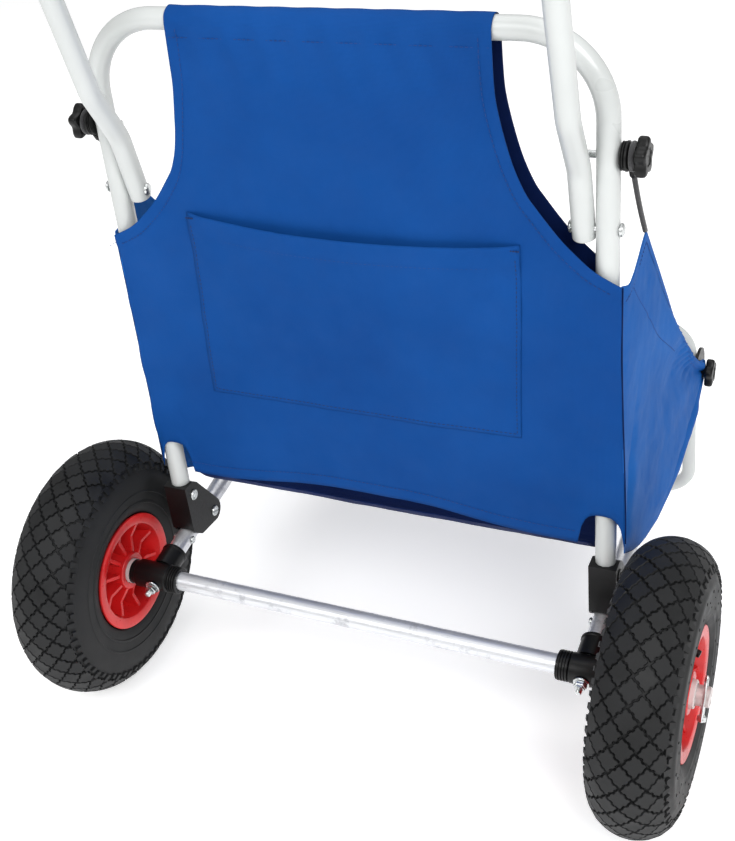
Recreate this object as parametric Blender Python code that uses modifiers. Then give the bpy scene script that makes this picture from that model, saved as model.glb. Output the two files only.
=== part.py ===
"""Two-wheeled folding beach cart with a fabric bag, a tilting U-handle and a front leg loop.

Metres, +Z up. X is the axle, +X the cart's right as seen by the person who pushes it, +Y is forward.
Helpers take "cart" coordinates, whose Y starts at the axle; the root empty then puts the origin on
the floor under the middle of the cart.
"""

import math

import bmesh
import bpy
from mathutils import Vector

# Wheels and axle
TYRE_R = 0.130
TYRE_HALF_W = 0.036
WHEEL_X = 0.282
RIM_R = 0.0595
RIM_HALF_W = 0.0345
BEAD_R = 0.0505
HUB_R = 0.021
STUB_R = 0.0070
SHAFT_R = 0.0092
STUB_END_X = 0.3285
PIN_X = 0.3232
PIN_TILT = 30.0
RIB_COUNT = 10

# Frame tubes
TUBE_R = 0.00925
TUBE_WALL = 0.0015
HALF_W = 0.220
SIDE_RISE = 7.95
SIDE_START = 0.0108
SIDE_END = 0.350
UPRIGHT_FOOT = 0.0671
UPRIGHT_LEAN = 1.61
UPRIGHT_START = 0.020
RAIL_HEIGHT = 0.531
CORNER_R = 0.065
FOLD_AT = 0.098
SIDE_SCREW_AT = 0.054
BRACKET_HALF_W = 0.0125
CLEAR = 0.00035

# Handle
HANDLE_X = 0.201
HANDLE_PIVOT_AT = 0.381
HANDLE_LOW_TILT = 11.5
HANDLE_OFFSET_Y = 0.041
HANDLE_OFFSET_Z = 0.618
HANDLE_TOP_TILT = 14.0
HANDLE_TOP_Z = 1.030
LOCK_AT = 0.440

# Leg loop
LOOP_R = 0.0075
LOOP_HALF_W = 0.2215
LOOP_CORNER_R = 0.032
LEG_PIVOT_AT = 0.42095
LOOP_UP = 0.057
PLATE_X = 0.2296
PLATE_T = 0.003
PLATE_EYE_R = 0.026

# Knobs and bolts
KNOB_R = 0.0157
KNOB_LOBES = 5
KNOB_T = 0.009
BOLT_R = 0.0030

# Fabric
CLOTH_T = 0.0015
COVER_GAP = 0.0112
COVER_HALF_W = 0.2315
COVER_REAR_FOOT = 0.088
COVER_FRONT_FOOT = 0.105
ARMHOLE_TOP = 0.525
ARMHOLE_FOOT = 0.340
SLEEVE_HALF_W = 0.137
POCKET_HALF_W = 0.1505
POCKET_LOW = 0.188
POCKET_HIGH = 0.362
POCKET_DEPTH = 0.0095
GUSSET_X = 0.2330
CORD_R = 0.0022

AXLE_Z = TYRE_R
SIDES = (("left", -1), ("right", 1))


def along(start, angle, distance):
    """The point at this distance from a (y, z) start, the angle in degrees up from +Y."""
    turn = math.radians(angle)
    return (start[0] + distance * math.cos(turn), start[1] + distance * math.sin(turn))


def side_point(distance, lift=0.0):
    """(y, z) on a lower side tube, this far from the axle, lifted square to the tube."""
    return along(along((0.0, AXLE_Z), SIDE_RISE, distance), SIDE_RISE + 90, lift)


def back_point(height, depth=0.0):
    """(y, z) in the back frame's plane, this high above its foot; depth is towards the rear."""
    on_axis = along(side_point(UPRIGHT_FOOT), 90 - UPRIGHT_LEAN, height)
    return along(on_axis, 180 - UPRIGHT_LEAN, depth)


FOLD_PIVOT = side_point(FOLD_AT)
HANDLE_PIVOT = back_point(HANDLE_PIVOT_AT)
LOCK_POINT = back_point(LOCK_AT)
LEG_PIVOT = side_point(LEG_PIVOT_AT)
LOOP_DOWN = (LEG_PIVOT[1] - LOOP_R) / math.cos(math.radians(SIDE_RISE))
LOOP_FOOT = along(LEG_PIVOT, SIDE_RISE - 90, LOOP_DOWN)
CENTRE_Y = (LOOP_FOOT[0] + LOOP_R - TYRE_R) / 2

# ---------------------------------------------------------------- scene helpers

PLACES = {}


def clear_scene():
    for old in list(bpy.data.objects):
        bpy.data.objects.remove(old, do_unlink=True)


def add_collection(name):
    made = bpy.data.collections.new(name)
    bpy.context.scene.collection.children.link(made)
    return made


clear_scene()
CART = add_collection("beach_cart")
CUTTERS = add_collection("cutters")


def material(name, color, roughness, metallic=0.0):
    made = bpy.data.materials.new(name)
    made.use_nodes = True
    shader = made.node_tree.nodes["Principled BSDF"]
    shader.inputs["Base Color"].default_value = (*color, 1.0)
    shader.inputs["Roughness"].default_value = roughness
    shader.inputs["Metallic"].default_value = metallic
    return made


WHITE = material("white_enamel", (0.82, 0.83, 0.82), 0.35)
BARE = material("bare_aluminium", (0.72, 0.73, 0.75), 0.38, 0.9)
ZINC = material("zinc_steel", (0.62, 0.64, 0.66), 0.3, 1.0)
BLACK = material("black_plastic", (0.02, 0.02, 0.022), 0.45)
TYRE = material("tyre_rubber", (0.03, 0.03, 0.032), 0.75)
TUBE_RUBBER = material("tube_rubber", (0.02, 0.02, 0.02), 0.6)
RED = material("red_plastic", (0.62, 0.02, 0.02), 0.35)
NYLON = material("pale_nylon", (0.78, 0.77, 0.72), 0.5)
BLUE = material("blue_cloth", (0.02, 0.10, 0.42), 0.85)
ELASTIC = material("black_elastic", (0.012, 0.012, 0.014), 0.8)


def place(obj, at, parent):
    """Puts the object at a cart point, under its parent."""
    PLACES[obj.name] = Vector(at)
    if parent is None:
        obj.location = (at[0], at[1] - CENTRE_Y, at[2])
    else:
        obj.parent = parent
        obj.location = Vector(at) - PLACES[parent.name]


def pivot(name, at, parent):
    empty = bpy.data.objects.new(name, None)
    empty.empty_display_size = 0.03
    CART.objects.link(empty)
    place(empty, at, parent)
    return empty


def add_part(name, mesh, at, parent, finish, smooth=True):
    obj = bpy.data.objects.new(name, mesh)
    if finish is None:
        CUTTERS.objects.link(obj)
        obj.hide_render = True
        obj.display_type = "WIRE"
    else:
        CART.objects.link(obj)
        mesh.materials.append(finish)
    place(obj, at, parent)
    if smooth:
        mesh.shade_smooth()
        mesh.set_sharp_from_angle(angle=math.radians(35))
    return obj


def mesh_of(curve):
    """The curve's mesh with its caps welded on."""
    holder = bpy.data.objects.new("holder", curve)
    CART.objects.link(holder)
    graph = bpy.context.evaluated_depsgraph_get()
    mesh = bpy.data.meshes.new_from_object(holder.evaluated_get(graph))
    bpy.data.objects.remove(holder)
    work = bmesh.new()
    work.from_mesh(mesh)
    bmesh.ops.remove_doubles(work, verts=work.verts, dist=1e-6)
    bmesh.ops.recalc_face_normals(work, faces=work.faces)
    work.to_mesh(mesh)
    work.free()
    return mesh


def poly_curve(points, cyclic, dimensions):
    curve = bpy.data.curves.new("outline", "CURVE")
    curve.dimensions = dimensions
    spline = curve.splines.new("POLY")
    spline.points.add(len(points) - 1)
    for knot, point in zip(spline.points, points):
        knot.co = (*point, 1.0)
    spline.use_cyclic_u = cyclic
    return curve


def tube(name, points, radius, parent, finish, wall=0.0, cyclic=False, resolution=2):
    """A round tube through cart points; with a wall it is hollow and open at its ends."""
    origin = PLACES[parent.name]
    curve = poly_curve([Vector(point) - origin for point in points], cyclic, "3D")
    curve.bevel_depth = radius
    curve.bevel_resolution = resolution
    curve.use_fill_caps = not wall and not cyclic
    obj = add_part(name, mesh_of(curve), origin, parent, finish)
    if wall:
        shell = obj.modifiers.new("wall", "SOLIDIFY")
        shell.thickness = wall
        shell.offset = -1
    return obj


def plate(name, outline, low, high, parent, finish):
    """A flat (y, z) outline that runs from x = low to x = high."""
    middle = Vector(((low + high) / 2, *outline[0]))
    flat = [(y - middle.y, z - middle.z, 0.0) for y, z in outline]
    curve = poly_curve(flat, True, "2D")
    curve.fill_mode = "BOTH"
    curve.extrude = (high - low) / 2
    obj = add_part(name, mesh_of(curve), middle, parent, finish, smooth=False)
    obj.rotation_euler = (math.pi / 2, 0, math.pi / 2)
    return obj


def back_slab(name, outline, low, high, parent, finish):
    """A flat (x, height) outline in the back frame's plane, between two depths behind it."""
    start = outline[0]
    middle = Vector((start[0], *back_point(start[1], (low + high) / 2)))
    flat = [(x - start[0], height - start[1], 0.0) for x, height in outline]
    curve = poly_curve(flat, True, "2D")
    curve.fill_mode = "BOTH"
    curve.extrude = (high - low) / 2
    obj = add_part(name, mesh_of(curve), middle, parent, finish, smooth=False)
    obj.rotation_euler = (math.radians(90 - UPRIGHT_LEAN), 0, 0)
    return obj


def turned(name, profile, at, axis, parent, finish, steps=24, ring=False):
    """A turned piece: (radius, height) points run down its outer side, from the top."""
    mesh = bpy.data.meshes.new(name)
    verts = [(radius, 0.0, height) for radius, height in profile]
    edges = [(i, i + 1) for i in range(len(verts) - 1)]
    if ring:
        edges.append((len(verts) - 1, 0))
    mesh.from_pydata(verts, edges, [])
    obj = add_part(name, mesh, at, parent, finish, smooth=False)
    turn = obj.modifiers.new("turn", "SCREW")
    turn.axis = "Z"
    turn.steps = steps
    turn.render_steps = steps
    turn.use_merge_vertices = True
    turn.merge_threshold = 0.00001
    obj.rotation_euler = Vector((0, 0, 1)).rotation_difference(Vector(axis)).to_euler()
    return obj


def rod(name, start, end, radius, parent, finish, steps=16):
    """A solid cylinder between two cart points."""
    line = Vector(end) - Vector(start)
    profile = [(0, line.length), (radius, line.length), (radius, 0), (0, 0)]
    return turned(name, profile, start, line, parent, finish, steps)


def combine(obj, other, operation="DIFFERENCE"):
    step = obj.modifiers.new(operation.lower(), "BOOLEAN")
    step.operation = operation
    step.object = other


def drill(obj, start, end, radius, parent, sides=12):
    """Cuts a round hole whose flats, not its corners, are this far from its middle."""
    reach = radius / math.cos(math.pi / sides)
    combine(obj, rod(obj.name + "_hole", start, end, reach, parent, None, sides))


def arc(centre, radius, start, end, count):
    """(a, b) points on an arc, angles in degrees."""
    step = (end - start) / count
    return [along(centre, start + step * i, radius) for i in range(count + 1)]


def eye_bar(first, first_r, second, second_r):
    """The outline round two circles and the straight sides between them."""
    run = math.degrees(math.atan2(second[1] - first[1], second[0] - first[0]))
    gap = math.dist(first, second)
    lean = math.degrees(math.acos((first_r - second_r) / gap))
    big = arc(first, first_r, run + lean, run + 360 - lean, 16)
    small = arc(second, second_r, run - lean, run + lean, 8)
    return big + small


def fillet(points, radius, count=5):
    """Rounds each inner corner of a path of 3-D points with an arc."""
    smooth = [Vector(points[0])]
    for before, corner, after in zip(points, points[1:], points[2:]):
        back = (Vector(before) - Vector(corner)).normalized()
        ahead = (Vector(after) - Vector(corner)).normalized()
        half = back.angle(ahead) / 2
        middle = Vector(corner) + (back + ahead).normalized() * (radius / math.sin(half))
        reach = radius / math.tan(half)
        first = (Vector(corner) + back * reach - middle).normalized()
        last = (Vector(corner) + ahead * reach - middle).normalized()
        for i in range(count + 1):
            smooth.append(middle + first.slerp(last, i / count) * radius)
    smooth.append(Vector(points[-1]))
    return smooth


def band(path, thickness):
    """The closed outline of a strip of this thickness, centred on a (y, z) path."""
    left, right = [], []
    for i, point in enumerate(path):
        before = Vector(path[max(i - 1, 0)])
        after = Vector(path[min(i + 1, len(path) - 1)])
        ahead = (after - before).normalized()
        side = Vector((-ahead.y, ahead.x)) * (thickness / 2)
        left.append(tuple(Vector(point) + side))
        right.append(tuple(Vector(point) - side))
    return left + right[::-1]


# ---------------------------------------------------------------- lower frame

def side_tubes(root):
    for name, side in SIDES:
        x = side * HALF_W
        ends = [(x, *side_point(SIDE_START)), (x, *side_point(SIDE_END))]
        part = tube(f"lower_tube_{name}", ends, TUBE_R, root, BARE, wall=TUBE_WALL)
        for at, radius in ((FOLD_AT, 0.0034), (SIDE_SCREW_AT, 0.0024), (0.322, 0.0028)):
            centre = side_point(at)
            drill(part, (x - 0.02, *centre), (x + 0.02, *centre), radius, root)
        screw = side_point(SIDE_SCREW_AT)
        bolt_through(f"lower_tube_screw_{name}", side, screw, 0.2085, 0.2315, 0.0020, 0.0038, root)
        rivet = side_point(0.322)
        bolt_through(f"leg_plate_rivet_{name}", side, rivet, 0.2088, 0.2328, 0.0024, 0.0045, root)


def bolt_through(name, side, centre, inner, outer, radius, head_r, parent, head_t=0.0018):
    """A bolt along X with a low round head at its inner end, flush at its outer end."""
    length = outer - inner
    profile = [(0, length), (radius, length), (radius, head_t), (head_r, head_t)]
    profile += [(head_r * 0.8, 0), (0, 0)]
    return turned(name, profile, (side * inner, *centre), (side, 0, 0), parent, ZINC, 10)


def axle(root):
    tube_ends = [(-0.2395, 0, AXLE_Z), (0.2395, 0, AXLE_Z)]
    main = tube("axle_tube", tube_ends, TUBE_R, root, BARE, wall=TUBE_WALL)
    for name, side in SIDES:
        x = side * HALF_W
        inner = (x, *side_point(-0.05))
        drill(main, inner, (x, *side_point(0.05)), 0.0033, root)
        profile = [(0, STUB_END_X), (SHAFT_R - 0.001, STUB_END_X), (SHAFT_R, STUB_END_X - 0.001)]
        profile += [(SHAFT_R, 0.2471), (0.0120, 0.2471), (0.0120, 0.2436), (STUB_R, 0.2436)]
        profile += [(STUB_R, 0.2050), (0, 0.2050)]
        stub = turned(f"axle_stub_{name}", profile, (0, 0, AXLE_Z), (side, 0, 0), root, ZINC, 16)
        drill(stub, inner, (x, *side_point(0.05)), 0.0033, root)
        low, high = pin_ends(side, 0.03)
        drill(stub, low, high, 0.0024, root)


def pin_ends(side, reach):
    """Two cart points on a linch pin's axis, this far below and above the axle."""
    low = along((0.0, AXLE_Z), 90 - PIN_TILT, -reach)
    high = along((0.0, AXLE_Z), 90 - PIN_TILT, reach)
    return (side * PIN_X, *low), (side * PIN_X, *high)


def tees(root):
    """The plastic fittings that join the axle tube to the lower side tubes."""
    for name, side in SIDES:
        x = side * HALF_W
        start = (side * 0.2065, 0, AXLE_Z)
        end = (side * 0.2430, 0, AXLE_Z)
        body = rod(f"tee_{name}", start, end, 0.0140, root, BLACK, 16)
        socket = rod(f"tee_socket_{name}", (x, 0, AXLE_Z), (x, *side_point(0.033)), 0.0126, root, None, 16)
        combine(body, socket, "UNION")
        bore = TUBE_R + CLEAR
        drill(body, (side * 0.19, 0, AXLE_Z), (side * 0.26, 0, AXLE_Z), bore, root)
        drill(body, (x, 0, AXLE_Z), (x, *side_point(0.05)), bore, root)
        drill(body, (x, *side_point(-0.03)), (x, 0, AXLE_Z), 0.0034, root)
        collar(name, side, root)
        tee_fastener(name, x, root)


def collar(name, side, root):
    """The grooved ring that closes a tee's inner end."""
    bore = TUBE_R + CLEAR
    ridge, groove, pitch = 0.0138, 0.0124, 0.0022
    outer = []
    for i in range(3):
        top = 0.0112 - i * pitch * 1.7
        outer += [(ridge, top), (ridge, top - pitch * 0.8), (groove, top - pitch)]
        outer.append((groove, top - pitch * 1.5))
    profile = outer[:-2] + [(ridge, 0.0), (bore, 0.0), (bore, 0.0112)]
    turned(f"tee_collar_{name}", profile, (side * 0.1950, 0, AXLE_Z), (side, 0, 0), root, BLACK, 16, ring=True)


def tee_fastener(name, x, root):
    """The cross bolt whose flanged lock nut shows at the rear of a tee."""
    rear = (0, *[-part for part in Vector(side_direction())])
    bolt = [(0, 0.0265), (BOLT_R, 0.0255), (BOLT_R, -0.0086), (0, -0.0086)]
    turned(f"tee_bolt_{name}", bolt, (x, 0, AXLE_Z), rear, root, ZINC, 10)
    nut = [(0.0045, 0.0215), (0.0045, 0.0196), (0.0057, 0.0190), (0.0057, 0.0158)]
    nut += [(0.0070, 0.0158), (0.0070, 0.0145), (0.0034, 0.0145), (0.0034, 0.0215)]
    turned(f"tee_nut_{name}", nut, (x, 0, AXLE_Z), rear, root, ZINC, 10, ring=True)


def side_direction():
    return math.cos(math.radians(SIDE_RISE)), math.sin(math.radians(SIDE_RISE))


# ---------------------------------------------------------------- wheels

def tyre_profile():
    """The open section of a pneumatic tyre: (radius, offset), down the outer side."""
    half = [(BEAD_R + 0.0004, 0.0308), (RIM_R + 0.0008, 0.0308), (RIM_R + 0.0020, 0.0335)]
    half += [(0.078, TYRE_HALF_W), (0.100, TYRE_HALF_W), (0.119, 0.0305), (TYRE_R, 0.012)]
    inside = [(0.1215, 0.010), (0.1120, 0.0240), (0.092, 0.0300), (0.064, 0.0262)]
    inside += [(BEAD_R + 0.0004, 0.0240)]
    outer = half + [(radius, -offset) for radius, offset in half[::-1]]
    return outer + [(radius, -offset) for radius, offset in inside[::-1]] + inside


def inner_tube_profile():
    """A thin air tube with a narrow slit at its inner side."""
    ring, wall, slit = [], 0.0018, 14.0
    for radius, start, end in ((0.0, 180 - slit, slit - 180), (wall, slit - 180, 180 - slit)):
        for i in range(7):
            angle = math.radians(start + (end - start) * i / 6)
            spread = (0.0270 - radius) * math.sin(angle)
            ring.append((0.0865 + (0.0290 - radius) * math.cos(angle), spread))
    return ring


def rim(name, at, side, hub):
    flange, barrel, web, inner = RIM_HALF_W, 0.0502, 0.0035, 0.0458
    half = [(HUB_R, flange - 0.004), (HUB_R, web), (inner, web), (inner, flange - 0.002)]
    half += [(inner + 0.002, flange), (RIM_R, flange), (RIM_R, flange - 0.003)]
    half += [(barrel, flange - 0.0034)]
    top = [(0.0130, flange - 0.004)] + half
    profile = top + [(radius, -offset) for radius, offset in top[::-1]]
    body = turned(f"rim_{name}", profile, at, (side, 0, 0), hub, RED, 24, ring=True)
    for i in range(RIB_COUNT):
        angle = 360 * i / RIB_COUNT
        start = (at[0], *along(at[1:], angle, HUB_R - 0.002))
        end = (at[0], *along(at[1:], angle, 0.0475))
        ribs = box_between(f"rib_{name}_{i}", start, end, 0.0024, 2 * flange - 0.016, hub)
        combine(body, ribs, "UNION")


def box_between(name, start, end, thickness, width, parent):
    """A cutter box from one cart point to another in a plane square to X."""
    run = Vector(end) - Vector(start)
    mesh = bpy.data.meshes.new(name)
    work = bmesh.new()
    bmesh.ops.create_cube(work, size=1.0)
    bmesh.ops.scale(work, vec=(width, run.length, thickness), verts=work.verts)
    work.to_mesh(mesh)
    work.free()
    obj = add_part(name, mesh, (Vector(start) + Vector(end)) / 2, parent, None, smooth=False)
    obj.rotation_euler = (math.atan2(run.z, run.y), 0, 0)
    return obj


def wheels(root):
    for name, side in SIDES:
        at = (side * WHEEL_X, 0, AXLE_Z)
        hub = pivot(f"wheel_axis_{name}", at, root)
        out = (side, 0, 0)
        turned(f"tyre_{name}", tyre_profile(), at, out, hub, TYRE, 28, ring=True)
        turned(f"inner_tube_{name}", inner_tube_profile(), at, out, hub, TUBE_RUBBER, 18, ring=True)
        rim(name, at, side, hub)
        bush = [(0.0126, 0.0345), (0.0126, -0.0345), (0.0100, -0.0345), (0.0100, 0.0345)]
        turned(f"hub_bush_{name}", bush, at, out, hub, NYLON, 16, ring=True)
        valve(name, side, hub)
        linch_pin(name, side, root)


def valve(name, side, hub):
    """The air valve's stem, which lies in a pocket of the rim's outer face."""
    foot = (side * (WHEEL_X + 0.0130), *along((0.0, AXLE_Z), 54, 0.0395))
    tip = (side * (WHEEL_X + 0.0328), *along((0.0, AXLE_Z), 54, 0.0340))
    rod(f"valve_{name}", foot, tip, 0.0032, hub, BLACK, 10)


def linch_pin(name, side, root):
    low, high = pin_ends(side, 0.0165)
    line = Vector(high) - Vector(low)
    head = pivot(f"linch_pin_axis_{name}", low, root)
    profile = [(0, line.length + 0.002), (0.0012, line.length), (0.0019, line.length - 0.003)]
    profile += [(0.0019, 0.0), (0.0042, 0.0), (0.0042, -0.0060), (0, -0.0060)]
    turned(f"linch_pin_{name}", profile, low, line, head, ZINC, 10)


# ---------------------------------------------------------------- back frame

def back_frame(parent):
    foot, rail = back_point(UPRIGHT_START), back_point(RAIL_HEIGHT)
    corners = [(-HALF_W, *foot), (-HALF_W, *rail), (HALF_W, *rail), (HALF_W, *foot)]
    frame = tube("back_frame", fillet(corners, CORNER_R), TUBE_R, parent, WHITE, wall=TUBE_WALL)
    for height in (HANDLE_PIVOT_AT, LOCK_AT, 0.047):
        centre = back_point(height)
        drill(frame, (-0.25, *centre), (0.25, *centre), 0.0034, parent)


def bracket(name, side, parent):
    """The two-cheek hinge block that holds an upright's foot over a lower side tube."""
    outline = [(0.0555, 0.2010), (0.0700, 0.2010), (0.0775, 0.1955), (0.1075, 0.1520)]
    outline += arc(FOLD_PIVOT, 0.0130, 25, -75, 5)
    outline += [(0.0690, 0.1345), (0.0585, 0.1430), (0.0555, 0.1480)]
    low, high = sorted((side * (HALF_W - BRACKET_HALF_W), side * (HALF_W + BRACKET_HALF_W)))
    body = plate(f"hinge_bracket_{name}", outline[::-1], low, high, parent, BLACK)
    gap = TUBE_R + CLEAR
    roof_back, roof_front = side_point(0.03, TUBE_R + 0.0014), side_point(0.0815, TUBE_R + 0.0014)
    channel = [roof_back, roof_front, (0.0800, 0.2150), (0.1300, 0.2150), (0.1300, 0.1100), (0.0300, 0.1100)]
    slot = plate(f"bracket_slot_{name}", channel, side * HALF_W - gap, side * HALF_W + gap, parent, None)
    combine(body, slot)
    x = side * HALF_W
    foot, top = (x, *back_point(UPRIGHT_START - 0.0005)), (x, *back_point(0.09))
    drill(body, foot, top, gap, parent)
    for centre in (back_point(0.047), FOLD_PIVOT):
        drill(body, (x - 0.03, *centre), (x + 0.03, *centre), 0.0034, parent)


def brackets(back, root):
    for name, side in SIDES:
        bracket(name, side, back)
        foot = back_point(0.047)
        bolt_through(f"bracket_bolt_{name}", side, foot, 0.2053, 0.2324, BOLT_R, 0.0055, back)
        bolt_through(f"fold_bolt_{name}", side, FOLD_PIVOT, 0.2053, 0.2324, BOLT_R, 0.0055, root)


# ---------------------------------------------------------------- handle

def handle_path():
    low = along(HANDLE_PIVOT, 90 + HANDLE_LOW_TILT, -0.0090)
    bend = along(HANDLE_PIVOT, 90 + HANDLE_LOW_TILT, 0.053)
    offset = (HANDLE_OFFSET_Y, HANDLE_OFFSET_Z)
    rise = (HANDLE_TOP_Z - HANDLE_OFFSET_Z) / math.cos(math.radians(HANDLE_TOP_TILT))
    top = along(offset, 90 + HANDLE_TOP_TILT, rise)
    leg = [low, bend, offset, top]
    left = [(-HANDLE_X, *point) for point in leg]
    right = [(HANDLE_X, *point) for point in leg[::-1]]
    corners = left + right
    legs_round = fillet(corners[:4], 0.045, 2)[:-1]
    cross = fillet(corners[2:6], CORNER_R)[1:-1]
    legs_back = fillet(corners[4:], 0.045, 2)[1:]
    return legs_round + cross + legs_back


def handle(parent):
    bar = tube("handle", handle_path(), TUBE_R, parent, WHITE, wall=TUBE_WALL)
    drill(bar, (-0.25, *HANDLE_PIVOT), (0.25, *HANDLE_PIVOT), 0.0034, parent)
    lock_hole = along(HANDLE_PIVOT, 90 + HANDLE_LOW_TILT, LOCK_AT - HANDLE_PIVOT_AT)
    for name, side in SIDES:
        start = (side * HANDLE_X, *lock_hole)
        drill(bar, start, (side * 0.24, *lock_hole), 0.0036, parent)


def handle_pivot_bolts(back):
    for name, side in SIDES:
        profile = [(0, 0.0435), (0.0040, 0.0431), (0.0052, 0.0415), (0.0052, 0.0404)]
        profile += [(BOLT_R, 0.0404), (BOLT_R, 0.0022), (0.0052, 0.0022), (0.0052, 0.0), (0, 0.0)]
        start = (side * 0.1892, *HANDLE_PIVOT)
        turned(f"handle_pivot_bolt_{name}", profile, start, (side, 0, 0), back, ZINC, 10)


# ---------------------------------------------------------------- star knobs

def star_knob(name, side, centre, start, hub_t, flange_t, parent):
    """A five-lobed hand knob on X; start is where its foot begins, away from the tube."""
    foot = [(0, hub_t + 0.001), (0.0066, hub_t + 0.001), (0.0066, flange_t)]
    if flange_t:
        foot += [(0.0115, flange_t), (0.0115, 0.0)]
    else:
        foot[-1] = (0.0066, 0.0)
    foot.append((0, 0.0))
    knob = turned(name, foot, (side * start, *centre), (side, 0, 0), parent, BLACK, 14)
    lobes = []
    for i in range(KNOB_LOBES * 6):
        angle = 360 * i / (KNOB_LOBES * 6)
        swell = 0.15 * math.cos(math.radians(KNOB_LOBES * angle)) - 0.15
        lobes.append(along(centre, angle + 180, KNOB_R * (1 + swell)))
    faces = sorted((side * (start + hub_t), side * (start + hub_t + KNOB_T)))
    head = plate(f"{name}_head", lobes, *faces, parent, None)
    combine(knob, head, "UNION")
    reach = side * (start + hub_t + KNOB_T - 0.004)
    drill(knob, (side * (start - 0.01), *centre), (reach, *centre), BOLT_R + CLEAR, parent)
    return reach


def handle_knobs(back):
    for name, side in SIDES:
        axis = pivot(f"handle_knob_axis_{name}", (side * 0.2333, *LOCK_POINT), back)
        tip = star_knob(f"handle_knob_{name}", side, LOCK_POINT, 0.2333, 0.0079, 0.0022, axis)
        inner = (side * 0.2040, *LOCK_POINT)
        rod(f"lock_bolt_{name}", inner, (tip - side * 0.0005, *LOCK_POINT), BOLT_R, axis, ZINC, 10)
        saddle = [(0.0110, 0.0034), (0.0110, 0.0), (0.0036, 0.0), (0.0036, 0.0034)]
        start = (side * 0.2296, *LOCK_POINT)
        turned(f"knob_saddle_{name}", saddle, start, (side, 0, 0), back, BLACK, 14, ring=True)


def elastic_cords(back):
    """The loop round each knob's hub and the tail down to the bag's corner."""
    for name, side in SIDES:
        x = side * 0.2383
        ring = [(x, *point) for point in arc(LOCK_POINT, 0.0093, 0, 337.5, 15)]
        loop = tube(f"elastic_cord_{name}", ring, CORD_R, back, ELASTIC, cyclic=True, resolution=1)
        top = (x, LOCK_POINT[0] + 0.002, LOCK_POINT[1] - 0.0093)
        low = (x, 0.1290, 0.4985)
        tail = tube(f"cord_tail_{name}", [top, (x, 0.094, 0.5500), low], CORD_R, back, None, resolution=1)
        combine(loop, tail, "UNION")


# ---------------------------------------------------------------- leg loop

def leg_loop(parent, root):
    up = along(LEG_PIVOT, 90 + SIDE_RISE, LOOP_UP)
    low, high = (-LOOP_HALF_W, *LOOP_FOOT), (-LOOP_HALF_W, *up)
    far_high, far_low = (LOOP_HALF_W, *up), (LOOP_HALF_W, *LOOP_FOOT)
    seam, far_seam = (-0.0002, *LOOP_FOOT), (0.0002, *LOOP_FOOT)
    corners = fillet([seam, low, high, far_high, far_low, far_seam], LOOP_CORNER_R, 4)
    loop = tube("leg_loop", corners, LOOP_R, parent, WHITE, wall=0.0012)
    drill(loop, (-0.25, *LEG_PIVOT), (0.25, *LEG_PIVOT), 0.0034, parent)
    for name, side in SIDES:
        outline = eye_bar(LEG_PIVOT, PLATE_EYE_R, side_point(0.300), 0.0105)
        faces = sorted((side * PLATE_X, side * (PLATE_X + PLATE_T)))
        bar = plate(f"leg_plate_{name}", outline, *faces, root, BLACK)
        drill(bar, (side * 0.20, *LEG_PIVOT), (side * 0.26, *LEG_PIVOT), 0.0034, root)
        rivet = side_point(0.322)
        drill(bar, (side * 0.20, *rivet), (side * 0.26, *rivet), 0.0028, root)
        axis = pivot(f"leg_knob_axis_{name}", (side * 0.2350, *LEG_PIVOT), parent)
        tip = star_knob(f"leg_knob_{name}", side, LEG_PIVOT, 0.2350, 0.0040, 0.0, axis)
        start = (side * 0.2095, *LEG_PIVOT)
        length = abs(tip) - 0.0005 - 0.2095
        profile = [(0, length), (BOLT_R, length), (BOLT_R, 0.0040), (0.0075, 0.0040)]
        profile += [(0.0060, 0.0), (0, 0.0)]
        turned(f"leg_bolt_{name}", profile, start, (side, 0, 0), parent, ZINC, 10)


# ---------------------------------------------------------------- fabric

def cover(parent):
    """The cloth that hangs over the top rail, in front of and behind the back frame."""
    path = [back_point(COVER_REAR_FOOT, COVER_GAP), back_point(0.31, COVER_GAP)]
    rail = back_point(RAIL_HEIGHT)
    path += arc(rail, COVER_GAP, 180 - UPRIGHT_LEAN, -UPRIGHT_LEAN, 10)
    path += [back_point(0.31, -COVER_GAP), back_point(COVER_FRONT_FOOT, -COVER_GAP)]
    outline = band(path, CLOTH_T)
    cloth = plate("back_cover", outline, -COVER_HALF_W, COVER_HALF_W, parent, BLUE)
    for name, side in SIDES:
        armhole = []
        for i in range(10):
            turn = math.radians(10 * i)
            x = 0.233 - (0.233 - SLEEVE_HALF_W) * math.cos(turn)
            height = ARMHOLE_TOP - (ARMHOLE_TOP - ARMHOLE_FOOT) * math.sin(turn)
            armhole.append((side * x, height))
        armhole += [(side * 0.26, ARMHOLE_FOOT), (side * 0.26, 0.56), (side * 0.1362, 0.56)]
        combine(cloth, back_slab(f"armhole_{name}", armhole, -0.03, 0.03, parent, None))
        arch = [(side * 0.2000, 0.07), *[(side * x, height) for x, height in
                arc((0.2165, 0.1055), 0.0165, 180, 0, 6)], (side * 0.2335, 0.07)]
        arch += [(side * 0.26, 0.07), (side * 0.26, 0.05), (side * 0.20, 0.05)]
        combine(cloth, back_slab(f"foot_cutout_{name}", arch, -0.03, 0.03, parent, None))


def pocket(parent):
    face = COVER_GAP + CLOTH_T / 2 + CLEAR
    wide, low, high = POCKET_HALF_W, POCKET_LOW, POCKET_HIGH
    outer = [(-wide, low), (wide, low), (wide, high), (-wide, high)]
    block = back_slab("pocket", outer, face, face + POCKET_DEPTH, parent, BLUE)
    inner_w, floor = wide - CLOTH_T, low + CLOTH_T
    hollow = [(-inner_w, floor), (inner_w, floor), (inner_w, high + 0.02), (-inner_w, high + 0.02)]
    reach = face + POCKET_DEPTH - CLOTH_T
    combine(block, back_slab("pocket_hollow", hollow, face - 0.01, reach, parent, None))


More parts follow.
